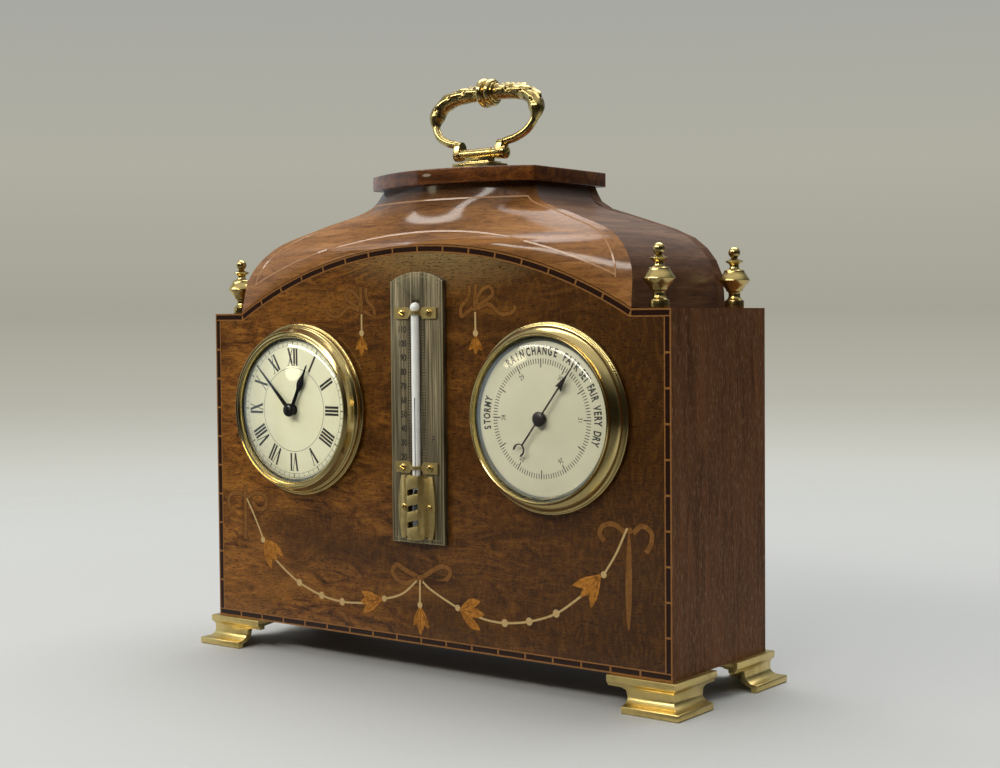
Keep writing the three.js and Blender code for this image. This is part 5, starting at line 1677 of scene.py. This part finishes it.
@dataclass
class ClockFace(Instrument):
    """The clock's dial with Roman numerals, and its spade hands."""

    name: str = "clock"
    slopes: Outline = ((0, 0), (27.5, 11), (29.5, 16), (31.5, 27), (34.1, 48))
    rim: Outline = ((40.2, -2.9), (40.3, -3.2), (40.25, -3.6), (40.05, -4.4), (39.75, -4.95), (39.55, -5.1),
                    (39.3, -5.0), (39.1, -5.15), (38.85, -5.7), (38.45, -6.6), (38.0, -7.6), (37.75, -8.35),
                    (37.6, -8.75), (37.35, -8.9), (37.1, -8.8), (36.95, -8.5), (36.7, -8.6), (36.1, -9.1),
                    (35.5, -9.4), (34.95, -9.3), (34.65, -8.9))
    numeral_radius: float = 25.1
    numeral_height: float = 8.5
    stem: float = 1.2
    hair: float = 0.4
    minute_angle: float = -45.6
    hour_angle: float = 26.0
    minute_length: float = 31.4
    hour_length: float = 24.0
    hand_thickness: float = 0.6

    def numeral(self, text: str) -> list[Outline]:
        """A Roman numeral's strokes with their serifs, about its middle.

        Args:
            text: The numeral, of the letters I, V and X.

        Returns:
            Outlines that may overlap.
        """
        h, strokes, x = self.numeral_height / 2, [], 0.0
        widths = {"I": 1.75, "V": 3.9, "X": 3.7}
        for letter in text:
            w = widths[letter]
            left, right, middle = x + 0.45, x + w - 0.45, x + w / 2
            if letter == "I":
                strokes.append(ribbon([(middle, -h), (middle, h)], self.stem))
                serifs = [(middle, -h), (middle, h)]
            elif letter == "V":
                strokes.append(ribbon([(left, h), (middle, -h)], self.stem))
                strokes.append(ribbon([(right, h), (middle, -h)], self.hair))
                serifs = [(left, h), (right, h)]
            else:
                strokes.append(ribbon([(left, h), (right, -h)], self.stem))
                strokes.append(ribbon([(right, h), (left, -h)], self.hair))
                serifs = [(left, h), (right, h), (left, -h), (right, -h)]
            for sx, sz in serifs:
                inward = sz - math.copysign(0.12, sz)
                strokes.append(ribbon([(sx - 0.75, inward), (sx + 0.75, inward)], 0.24))
            x += w
        return [[(px - x / 2, pz) for px, pz in outline] for outline in strokes]

    def build(self) -> None:
        """Builds the bezel, the printing and both hands."""
        self.build_bezel()
        parts = [self.ring(30.6, 0.12), self.ring(32.5, 0.12), self.ring(20.0, 0.2),
                 self.ticks(60, 30.6, 32.5, 0.2, skip=5), self.ticks(12, 30.5, 32.6, 0.55)]
        names = ("XII", "I", "II", "III", "IIII", "V", "VI", "VII", "VIII", "IX", "X", "XI")
        for hour, text in enumerate(names):
            for i, outline in enumerate(self.numeral(text)):
                placed = [(px * 0.94, pz + self.numeral_radius) for px, pz in outline]
                stroke = sheet("stroke", [turned(placed, 30 * hour)])
                parts.append(moved(stroke, (0, -0.0006 * i, 0)))
        self.printed("clock_dial_printing", parts, DIAL_INK)
        self.build_hands()

    def build_hands(self) -> None:
        """The minute hand with its domed boss, and the spade hour hand on its pipe."""
        minute_y = low_corner("hour_hand").y - FRONT_Y - 0.7 - self.hand_thickness
        hour_y = low_corner("hour_hand").y - FRONT_Y
        length = self.minute_length
        minute = [(-1.1, 0), *curved([(-1.1, 1.5), (-1.0, length * 0.16), (-0.75, length * 0.4),
                                      (-0.42, length * 0.72), (-0.18, length * 0.94)], 4), (0, length)]
        hand = self.blade("minute_blade", minute, self.minute_angle, minute_y)
        boss = turning("boss", [(0.95, minute_y + 0.6), (3.15, minute_y + 0.6), (3.25, minute_y - 0.1),
                                (3.0, minute_y - 0.8), (2.45, minute_y - 1.3), (1.7, minute_y - 1.65),
                                (0.9, minute_y - 1.85), (0, minute_y - 1.9)], Axis.Y, 40)
        whole = joined("clock_minute_hand", [hand, boss])
        settled(self.at_axis(whole), BLACKED_STEEL, ["minute_hand"], body="minute_work")

        length = self.hour_length
        hour = [(-1.0, 0), *curved([(-1.05, 1.5), (-0.95, length * 0.25), (-0.95, length * 0.44),
                                    (-1.5, length * 0.5), (-1.95, length * 0.57), (-1.65, length * 0.65),
                                    (-0.85, length * 0.74), (-0.45, length * 0.82), (-0.3, length * 0.95)],
                                    4),
                (0, length)]
        slit = rectangle(-0.36, 0.36, length * 0.16, length * 0.44)
        blade = self.blade("hour_blade", hour, self.hour_angle, hour_y, slit)
        rear = self.rear_of("hour_hand", hour_y + self.hand_thickness)
        collar = turning("hour_collar", [(1.05, hour_y), (2.7, hour_y), (2.7, hour_y + self.hand_thickness),
                                         (1.05, hour_y + self.hand_thickness), (1.05, hour_y)], Axis.Y, 36)
        whole = joined("clock_hour_hand", [self.at_axis(joined("hour_front", [blade, collar])), rear])
        settled(whole, BLACKED_STEEL, ["hour_hand"], body="hour_work")

    def blade(self, name: str, left: Outline, angle: float, front: float, *holes: Outline) -> Piece:
        """A hand's blade from its left edge, pointing at an angle, with its front face at a y."""
        outlines = [turned(outline, angle) for outline in (mirrored(left), *holes)]
        return moved(eased(sheet(name, outlines, self.hand_thickness), 0.14, 2, 40), (0, front, 0))

    def rear_of(self, node: str, front: float) -> Piece:
        """What a CAD hand has behind its blade: its pipe and wheel.

        Args:
            node: The CAD node.
            front: The y, from the panel's front, behind which all is kept.

        Returns:
            The rear part, closed.
        """
        piece = copied(node, f"{node}_rear")
        with editing(piece):
            bpy.ops.mesh.bisect(plane_co=(0, FRONT_Y + front, 0), plane_no=(0, 1, 0), use_fill=True,
                                clear_inner=True)
        return piece


@dataclass
class BarometerFace(Instrument):
    """The barometer's card with its scale and weather words, and its single hand."""

    name: str = "barometer"
    sight: float = 35.0
    slopes: Outline = ((0, 0), (24, 5), (27.5, 7.2), (29.4, 11), (31, 21), (32.6, 34), (34.7, 55))
    rim: Outline = ((40.1, -2.85), (39.75, -3.3), (39.5, -3.4), (39.45, -3.7), (39.6, -4.1), (39.5, -4.6),
                    (39.1, -5.5), (38.5, -6.4), (37.8, -7.2), (37.1, -7.85), (36.6, -8.2), (36.35, -8.2),
                    (36.25, -8.05), (36.3, -8.7), (36.2, -9.4), (35.95, -9.85), (35.6, -9.95), (35.3, -9.75),
                    (35.15, -9.3), (35.05, -8.4))
    tick_outer: float = 25.6
    word_radius: float = 28.9
    word_height: float = 3.7
    hand_angle: float = 38.0
    hand_length: float = 29.6
    tail: float = 17.3
    hand_thickness: float = 0.6

    def build(self) -> None:
        """Builds the bezel, the printing and the hand."""
        self.build_bezel()
        parts = [self.ticks(120, self.tick_outer - 2.2, self.tick_outer, 0.36, skip=10),
                 self.ticks(12, self.tick_outer - 3.8, self.tick_outer, 0.5)]
        for word, start, end in (("STORMY", -99, -74), ("RAIN", -36, -20), ("CHANGE", -13, 15.5),
                                 ("FAIR", 26, 40), ("SET FAIR", 47, 71.5), ("VERY DRY", 79.5, 109)):
            parts += self.arched_word(word, start, end)
        for inches, angle in (("29", -30), ("28", -90), ("27", -150), ("26", 150), ("31", 90), ("30", 30)):
            digits = lettering("digits", inches, 2.3, 0.8)
            x, z = turned([(0, self.tick_outer - 5.6)], angle)[0]
            parts.append(moved(digits, (x, 0, z), angle))
        self.printed("barometer_card_printing", parts, CARD_INK)
        self.build_hand()

    def arched_word(self, word: str, start: float, end: float) -> list[Piece]:
        """A word spread along the rim, upright to the centre.

        Args:
            word: The word.
            start: Angle of its first letter in degrees.
            end: Angle of its last letter.

        Returns:
            Its letters.
        """
        letters = []
        for i, letter in enumerate(word):
            if letter == " ":
                continue
            angle = start + (end - start) * i / (len(word) - 1)
            piece = lettering("letter", letter, self.word_height, 0.62, 0.05)
            x, z = turned([(0, self.word_radius)], angle)[0]
            letters.append(moved(piece, (x, 0, z), angle))
        return letters

    def build_hand(self) -> None:
        """The hand: a thin blade with an arrowhead and a crescent tail, on its arbor."""
        front = -8.4
        length, tail = self.hand_length, self.tail
        left = [(-0.3, -tail + 2.6), (-0.3, length * 0.585), (-1.75, length * 0.555),
                *curved([(-1.3, length * 0.62), (-0.7, length * 0.71), (-0.28, length * 0.79),
                         (-0.22, length * 0.9)], 4), (0, length)]
        blade = sheet("baro_blade", [turned(mirrored(left), self.hand_angle)], self.hand_thickness)
        outer_gap, inner_gap = 50, 60
        outer = arc((0, -tail), 2.95, 90 + outer_gap, 450 - outer_gap, 24)
        inner = arc((0, -tail - 0.35), 2.2, 450 - inner_gap, 90 + inner_gap, 24)
        flipped = [(x, -2 * tail - z) for x, z in [*outer, *inner]]
        crescent = sheet("crescent", [turned(flipped, self.hand_angle)], self.hand_thickness)
        parts = [moved(eased(p, 0.12, 2, 40), (0, front, 0)) for p in (blade, crescent)]
        profile = [(0, 6.4), (0.8, 6.4), (0.8, front + 0.6), (3.15, front + 0.6), (3.2, front),
                   (2.8, front - 0.5), (2.0, front - 0.85), (1.0, front - 1.0), (0, front - 1.05)]
        boss = turning("baro_boss", profile, Axis.Y, 40)
        whole = joined("barometer_pointer", [*parts, boss])
        settled(self.at_axis(whole), GREYED_STEEL, ["barometer_hand"], body="pressure_hand")


@dataclass
class Thermometer:
    """The engraved plate, the tube with its bulb, both clips and the guard."""

    tube_radius: float = 1.95
    stand: float = 0.65
    number_height: float = 3.0
    degree: float = 0.644
    top_number_z: float = 143.7
    clip_screw: float = 8.0
    guard_screw: float = 7.6
    strap_thickness: float = 0.9
    clip_edge: Outline = ((0, 0.75), (2.6, 0.75), (3.1, 1.1), (4.3, 2.65), (12.0, 2.65), (12.4, 2.2))
    guard_path: Outline = (*[(x, -0.45) for x in (-10.85, -10.6, -10.3, -9.8, -9.2, -6.8, -4.6)],
                           (-4.1, -0.55), (-3.65, -1.0), (-3.2, -3.2), (-2.8, -3.75), (-2.3, -3.85),
                           (0, -3.9))
    guard_edge: Outline = ((0, 14.65), (9.2, 14.2), (9.8, 11.4), (10.3, 8.2), (10.6, 5.4), (10.85, 0.6))
    slots: Sequence[float] = (7.3, -0.1, -7.4)

    def __post_init__(self) -> None:
        """Finds the plate and the tube's axis."""
        plate_low, plate_high = low_corner("thermometer_plate"), high_corner("thermometer_plate")
        self.x = (plate_low.x + plate_high.x) / 2
        self.half = (plate_high.x - plate_low.x) / 2
        self.face = plate_low.y
        self.bottom, self.top = plate_low.z, plate_high.z
        self.axis_y = self.face - self.stand

    def build(self) -> None:
        """Builds every piece of it."""
        plate = eased(copied("thermometer_plate", "engraved_plate"), 0.3, 2, 40)
        settled(plate, PLATE_SILVER, ["thermometer_plate"], smooth=30)
        self.build_engraving()
        self.build_tube()
        for name in ("upper_tube_clip", "lower_tube_clip"):
            z = middle_of(name).z
            clip = self.strap(f"{name}_strap", self.clip_path(), self.clip_edge)
            settled(moved(clip, (self.x, self.face, z)), STRAP_BRASS, [name], smooth=40)
            for side, angle in ((-1, 30), (1, -50)):
                self.screw(f"{name}_{'left' if side < 0 else 'right'}_screw", side * self.clip_screw, z,
                           1.6, 1.0, angle)
        self.build_guard()

    def build_guard(self) -> None:
        """The guard: a barrel-shaped strap with three slanted slots and a notch at each corner."""
        centre = middle_of("bulb_guard").z
        guard = self.strap("pierced_guard", mirrored(self.guard_path), self.guard_edge)
        cutters = []
        for z in self.slots:
            cutter = block("slot", (-2.9, -8, z - 1.35), (3.3, -1.9, z + 1.35))
            cutter.data.transform(Matrix(((1, 0, 0, 0), (0, 1, 0, 0), (0.22, 0, 1, 0), (0, 0, 0, 1))))
            cutters.append(cutter)
        for x in (-5.5, 5.5):
            for z in (-14.4, 14.4):
                cutters.append(moved(sheet("notch", [disc((x, z), 1.35)], 4), (0, -3, 0)))
        guard = eased(closed_up(cut_by(guard, *cutters)), 0.14, 2, 45)
        settled(moved(guard, (self.x, self.face, centre)), STRAP_BRASS, ["bulb_guard"], smooth=40)
        for side, angle in ((-1, 60), (1, 10)):
            self.screw(f"guard_{'left' if side < 0 else 'right'}_screw", side * self.guard_screw, centre,
                       1.55, 0.9, angle)

    def clip_path(self) -> list[Point2]:
        """A clip's middle line over the tube, as x and y from the plate's face."""
        level, reach = -self.strap_thickness / 2, self.tube_radius + 0.45
        over = arc((0, -self.stand), reach, 184, 356, 20)
        return [(-12.4, level), (-12.1, level), (-4.4, level), (-3.2, level), *over, (3.2, level),
                (4.4, level),
                (12.1, level), (12.4, level)]

    def strap(self, name: str, path: Outline, edge: Outline) -> Piece:
        """A strap bent along a path.

        Args:
            name: The piece's name.
            path: Its middle line as x and y from the plate's face.
            edge: Its half height at distances from its middle.

        Returns:
            The strap, about the plate's middle line.
        """
        line = np.array(path, float)
        along = np.gradient(line, axis=0)
        along /= np.linalg.norm(along, axis=1, keepdims=True)
        normal = np.stack([-along[:, 1], along[:, 0]], axis=1) * self.strap_thickness / 2
        reach, height = zip(*edge)
        rings = []
        for point, n in zip(line, normal):
            h = float(np.interp(abs(point[0]), reach, height))
            a, b = point + n, point - n
            rings.append([(a[0], a[1], -h), (a[0], a[1], h), (b[0], b[1], h), (b[0], b[1], -h)])
        return skin(name, rings)

    def screw(self, name: str, x: float, z: float, radius: float, reach: float, angle: float) -> None:
        """A small round-headed screw on a strap, at x from the plate's middle."""
        head = ScrewHead(radius, reach, 0.4, angle).build(name)
        settled(moved(head, (self.x + x, self.face - 1.0, z)), POLISHED_BRASS, smooth=34)

    def build_engraving(self) -> None:
        """The border, the ladder of degrees on both sides of the tube, the numbers and the letter."""
        z_of = self.height_of
        low, high = z_of(16), z_of(119)
        parts = []
        for side in (-1, 1):
            for reach in (2.95, 4.9):
                x = side * reach
                parts.append(sheet("rail", [rectangle(x - 0.13, x + 0.13, low, high)]))
            rungs = []
            for i in range(16, 120, 2):
                width = 0.36 if i % 10 == 0 else 0.27
                z = z_of(i)
                x0, x1 = sorted((side * 3.0, side * (5.4 if i % 10 == 0 else 4.85)))
                rungs.append(rectangle(x0, x1, z - width / 2, z + width / 2))
            parts.append(moved(sheet("rungs", rungs), (0, -0.001, 0)))
        for number in range(20, 120, 10):
            piece = lettering("number", str(number), self.number_height, 0.85, 0.04)
            parts.append(moved(piece, (-7.9 - 0.7 * (number >= 100), 0, z_of(number))))
        parts.append(moved(lettering("scale_letter", "F", 3.4, 0.9), (9.6, 0, z_of(33))))
        engraving = joined("thermometer_engraving", parts)
        settled(moved(engraving, (self.x, self.face - PRINT_DEPTH, 0)), ENGRAVING, smooth=None)
        self.build_border()

    def height_of(self, degrees: float) -> float:
        """The height of a reading on the scale."""
        return CASE_Z + self.top_number_z - (110 - degrees) * self.degree

    def build_border(self) -> None:
        """A double line engraved inside the plate's edge."""
        rings = []
        for distance in (0.25, 1.9):
            rings.append(sheet("border", [self.plate_outline(distance), self.plate_outline(distance + 0.3)]))
        border = joined("plate_border_lines", rings)
        settled(moved(border, (self.x, self.face - PRINT_DEPTH, 0)), SCRIBED, smooth=None)

    def plate_outline(self, distance: float) -> list[Point2]:
        """The plate's outline moved inwards, about its middle."""
        rise = 4.3
        radius = (self.half**2 + rise**2) / (2 * rise)
        centre = self.top - radius
        half = self.half - distance
        sweep = math.degrees(math.asin(half / (radius - distance)))
        arch = arc((0, centre), radius - distance, 90 - sweep, 90 + sweep, 20)
        return [(-half, self.bottom + distance), (half, self.bottom + distance), *arch]

    def build_tube(self) -> None:
        """The opal glass tube with its round top, the bulb and the thread of mercury."""
        low, high = low_corner("thermometer_tube").z, high_corner("thermometer_tube").z
        r = self.tube_radius
        neck = low + 19.5
        rod = [(0, neck - 1), (r, neck - 1), (r, high - 5.4), (r * 0.9, high - 4.7), (1.6, high - 4.2),
               *arc((0, high - 2.4), 2.4, -44, 90, 10)]
        tube = moved(turning("opal_glass_tube", rod, Axis.Z, 40), (self.x, self.axis_y, 0))
        settled(tube, OPAL_GLASS, ["thermometer_tube"], smooth=40)
        bulb = [(0.0, low), (1.2, low + 0.1), (2.0, low + 0.9), (2.4, low + 2.4), (2.45, low + 5.0),
                (2.45, low + 14.0), (2.3, low + 17.5), (r, neck), (0, neck)]
        settled(moved(turning("silvery_bulb", bulb, Axis.Z, 40), (self.x, self.axis_y, 0)), MERCURY)
        top = high_corner("mercury_column").z
        rings = []
        for z in (neck, top):
            corners = [(r * k * math.sin(a), -r * k * math.cos(a))
                       for k, a in ((0.97, 0.3), (1.02, 0.3), (1.02, 0.46), (0.97, 0.46))]
            rings.append([(self.x + x, self.axis_y + y, z) for x, y in corners])
        settled(skin("mercury_thread", rings), MERCURY, smooth=None)


@dataclass
class BackFittings:
    """The door, its frame, hinge screws and knob, and the winding key."""

    hinge_pitch: float = 17.0

    def build(self) -> None:
        """Softens the joinery and adds the screws and the turned knob."""
        for node, name, body, finish in (("back_frame", "back_framing", "case", BACK_WOOD),
                                         ("back_door", "door_panel", "door", DOOR_WOOD)):
            settled(eased(copied(node, name), 0.35, 2, 40), finish, [node], 30, body)
        self.build_knob()
        self.build_screws()
        key = eased(copied("winding_key", "bow_key"), 0.25, 2, 40)
        settled(key, PLAIN_BRASS, ["winding_key"], 40, "winding_work")

    def build_knob(self) -> None:
        """The door's turned brass knob."""
        centre, low = middle_of("back_door_knob"), low_corner("back_door_knob")
        profile = [(0, 0), (3.3, 0), (3.4, 0.4), (3.0, 0.9), (1.9, 1.3), (1.6, 2.0), (1.7, 2.9), (2.6, 3.6),
                   (3.6, 4.1), (4.0, 4.8), (3.8, 5.5), (3.0, 6.1), (1.6, 6.45), (0, 6.5)]
        knob = turning("door_knob", profile, Axis.Y, 40)
        settled(moved(knob, (centre.x, low.y, centre.z)), PLAIN_BRASS, ["back_door_knob"], body="door")

    def build_screws(self) -> None:
        """Three countersunk screws in each hinge leaf."""
        for node, body, side in (("hinge_frame_leaf", "case", -1), ("hinge_door_leaf", "door", 1)):
            low, high = low_corner(node), high_corner(node)
            x = low.x + 4.2 if side < 0 else high.x - 4.2
            heads = []
            for i in (-1, 0, 1):
                head = ScrewHead(1.5, 0.3, 0.4, 40 * i + 15).build("hinge_screw")
                z = (low.z + high.z) / 2 + i * self.hinge_pitch
                about = Matrix.Rotation(math.pi, 4, "Z")
                head.data.transform(Matrix.Translation((x, low.y + 0.8, z)) @ about)
                heads.append(head)
            settled(joined(f"{node}_screws", heads), PLAIN_BRASS, body=body)


class PlainNodes:
    """The CAD nodes that stay in view, with their finishes, and the side veneer over the panel's edges."""

    FINISHES = {
        FRONT_VENEER: ("front_panel",),
        SIDE_WOOD: ("left_side_panel", "right_side_panel"),
        BACK_WOOD: ("top_board", "bottom_board", "roof_back_board"),
        CLOCK_ENAMEL: ("clock_dial",),
        BAROMETER_CARD: ("barometer_dial",),
        MERCURY: ("mercury_column",),
        STEEL: ("hand_setting_arbor", "escape_wheel", "pallet_lever", "winding_arbor", "barometer_lever"),
    }

    def build(self) -> None:
        """Dresses them; brass is the finish of all that is named nowhere else."""
        for finish, nodes in self.FINISHES.items():
            for node in nodes:
                dress_node(node, finish)
        named = {node for nodes in self.FINISHES.values() for node in nodes}
        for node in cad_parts:
            if node not in named:
                dress_node(node, PLAIN_BRASS)
        log.info("dressed %d carried-over nodes", len(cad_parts))
        for name, node, sign in (("left_edge_veneer", "left_side_panel", -1),
                                 ("right_edge_veneer", "right_side_panel", 1)):
            back = low_corner(node).y + 0.02
            x0, x1 = sorted((sign * HALF_WIDTH, sign * (HALF_WIDTH + INLAY_DEPTH)))
            strip = block(name, (x0, FRONT_Y, CASE_Z), (x1, back, CASE_TOP))
            settled(strip, SIDE_WOOD, smooth=None)


@dataclass
class Studio:
    """Camera, soft lights, pale floor and backdrop."""

    focal_pixels: float = 1614.56
    picture_width: float = 1000.0
    azimuth: float = 37.755
    elevation: float = 2.2315
    roll: float = -0.493
    place: Point3 = (477.29, -592.02, 161.53)
    floor_size: float = 4.0

    def build_camera(self) -> None:
        """The camera at the photograph's place and angle."""
        camera = linked("camera", bpy.data.cameras.new("camera"))
        camera.data.sensor_width = 36.0
        camera.data.lens = 36.0 * self.focal_pixels / self.picture_width
        camera.data.clip_start = 0.01
        a, e, roll = (math.radians(v) for v in (self.azimuth, self.elevation, self.roll))
        back = Vector((math.sin(a) * math.cos(e), -math.cos(a) * math.cos(e), math.sin(e)))
        right = Vector((math.cos(a), math.sin(a), 0))
        up = back.cross(right)
        level = Matrix((right, up, back)).transposed()
        turned_camera = level @ Matrix.Rotation(roll, 3, "Z")
        camera.matrix_world = Matrix.Translation(Vector(self.place) * MM) @ turned_camera.to_4x4()
        bpy.context.scene.camera = camera

    def build_light(self, name: str, place: Point3, target: Point3, size: Point2, power: float,
                    colour: str = "#ffffff") -> None:
        """One soft box.

        Args:
            name: Its name.
            place: Its middle in metres.
            target: What it faces.
            size: Its width and height.
            power: Its power in watts.
            colour: Its colour.
        """
        data = bpy.data.lights.new(name, "AREA")
        data.shape = "ELLIPSE" if "lamp" in name else "RECTANGLE"
        data.size, data.size_y = size
        data.energy = power
        data.color = linear(colour)[:3]
        light = linked(name, data)
        way = Vector(target) - Vector(place)
        light.matrix_world = Matrix.Translation(place) @ way.to_track_quat("-Z", "Y").to_matrix().to_4x4()

    def build_floor(self) -> None:
        """A pale floor that fades into the backdrop's colour far from the object, with a painted shadow in
        front of the case that only reflections see.
        """
        deselect()
        bpy.ops.mesh.primitive_circle_add(vertices=96, radius=self.floor_size, fill_type="NGON")
        floor = added("floor")
        material = bpy.data.materials.new("seamless_paper")
        tree = emptied(material)
        place = add(tree, "TexCoord").outputs["Object"]
        reach = add(tree, "VectorMath", {0: place}, operation="LENGTH").outputs["Value"]
        grain = noise(tree, (3.0, 3.0, 3.0), detail=3)
        colour = blended(tree, grain, linear("#b3b4b2"), linear("#b7b8b6"))
        # Painted shadow: reflections in polish and brass see the floor just in front of the case nearly
        # black.
        depth = add(tree, "SeparateXYZ", {0: place}).outputs["Y"]
        glossy = add(tree, "LightPath").outputs["Is Glossy Ray"]
        mirrored = product(tree, between(tree, depth, -0.14, -0.05, 0.8, 0), glossy)
        colour = blended(tree, mirrored, colour, linear("#15130f"))
        paper = add(tree, "BsdfPrincipled", {"Base Color": colour, "Roughness": 0.7})
        clear = add(tree, "BsdfTransparent")
        faded = add(tree, "MixShader", {0: between(tree, reach, 0.35, 1.1), 1: paper, 2: clear})
        add(tree, "OutputMaterial", {"Surface": faded})
        floor.data.materials.append(material)

    def build_world(self) -> None:
        """A grey backdrop for the camera; a pale ceiling and a darker room in front for the rest."""
        world = bpy.data.worlds.new("studio")
        bpy.context.scene.world = world
        tree = emptied(world)
        way = add(tree, "TexCoord").outputs["Generated"]
        parts = add(tree, "SeparateXYZ", {0: way})
        across, depth, height = (parts.outputs[axis] for axis in "XYZ")
        ramp = stops(tree, between(tree, height, -0.3, 0.3), (0.0, "#d0d0cc"), (0.13, "#d2d2ce"),
                     (0.22, "#e2e4df"), (0.28, "#e2e4df"),
                     (0.34, "#d3d4cc"), (0.42, "#b7b5a9"), (0.51, "#a5a395"), (0.66, "#b0aea1"),
                     (0.82, "#a8a9a3"), (1.0, "#989994"))
        seen = add(tree, "Background", {"Color": ramp, "Strength": 1.0})
        room = stops(tree, between(tree, height, -1, 1), (0.0, "#3a3936"), (0.4, "#34322e"),
                     (0.5, "#26231f"), (0.58, "#2c2a26"),
                     (0.68, "#4c4b48"), (0.8, "#8f9090"), (0.92, "#e2e3e2"), (1.0, "#f4f4f4"))
        wall = stops(tree, between(tree, height, -1, 1), (0.0, "#9c9c98"), (0.4, "#8e9090"),
                     (0.5, "#6f7476"), (0.56, "#7f8587"),
                     (0.8, "#9ca0a0"), (1.0, "#f4f4f4"))
        around = blended(tree, between(tree, depth, -0.25, 0.35), room, wall)
        low_right = product(tree, between(tree, across, 0.05, 0.45, 0, 0.85),
                            between(tree, height, 0.3, 0.75, 1, 0))
        around = blended(tree, low_right, around, linear("#24211c"))
        left_wall = product(tree, between(tree, across, -0.76, -0.8), between(tree, height, 0.75, 0.45))
        around = blended(tree, left_wall, around, linear("#c2ced6"))
        even = add(tree, "Background", {"Color": around, "Strength": 1.0})
        direct = add(tree, "LightPath").outputs["Is Camera Ray"]
        mixed = add(tree, "MixShader", {0: direct, 1: even, 2: seen})
        add(tree, "OutputWorld", {"Surface": mixed})

    def build(self) -> None:
        """Sets up the whole studio."""
        self.build_camera()
        self.build_floor()
        self.build_world()
        self.build_light("overhead_box", (-0.2, 0.45, 1.5), (0, 0, 0.1), (1.7, 1.0), 19.5)
        self.build_light("ceiling_strip", (-0.4, -1.35, 1.2), (-0.1, 0, 0.12), (2.4, 0.22), 21.0, "#fffaf2")
        self.build_light("round_lamp", (-2.677, -2.973, 0.754), (0, 0, 0.15), (0.56, 0.36), 2.3, "#fff0cc")
        bpy.context.scene.view_settings.view_transform = "Standard"


def main() -> None:
    """Builds the scene round the frame."""
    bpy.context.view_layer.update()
    Studio().build()
    PlainNodes().build()
    for part in (Banding(), Marquetry(), Roof()):
        part.build()
    Foot().build_all()
    Finial().build_all()
    for part in (Handle(), ClockFace(), BarometerFace(), Thermometer(), BackFittings()):
        part.build()
        log.info("finished %s", type(part).__name__)


if __name__ == "__main__":
    main()
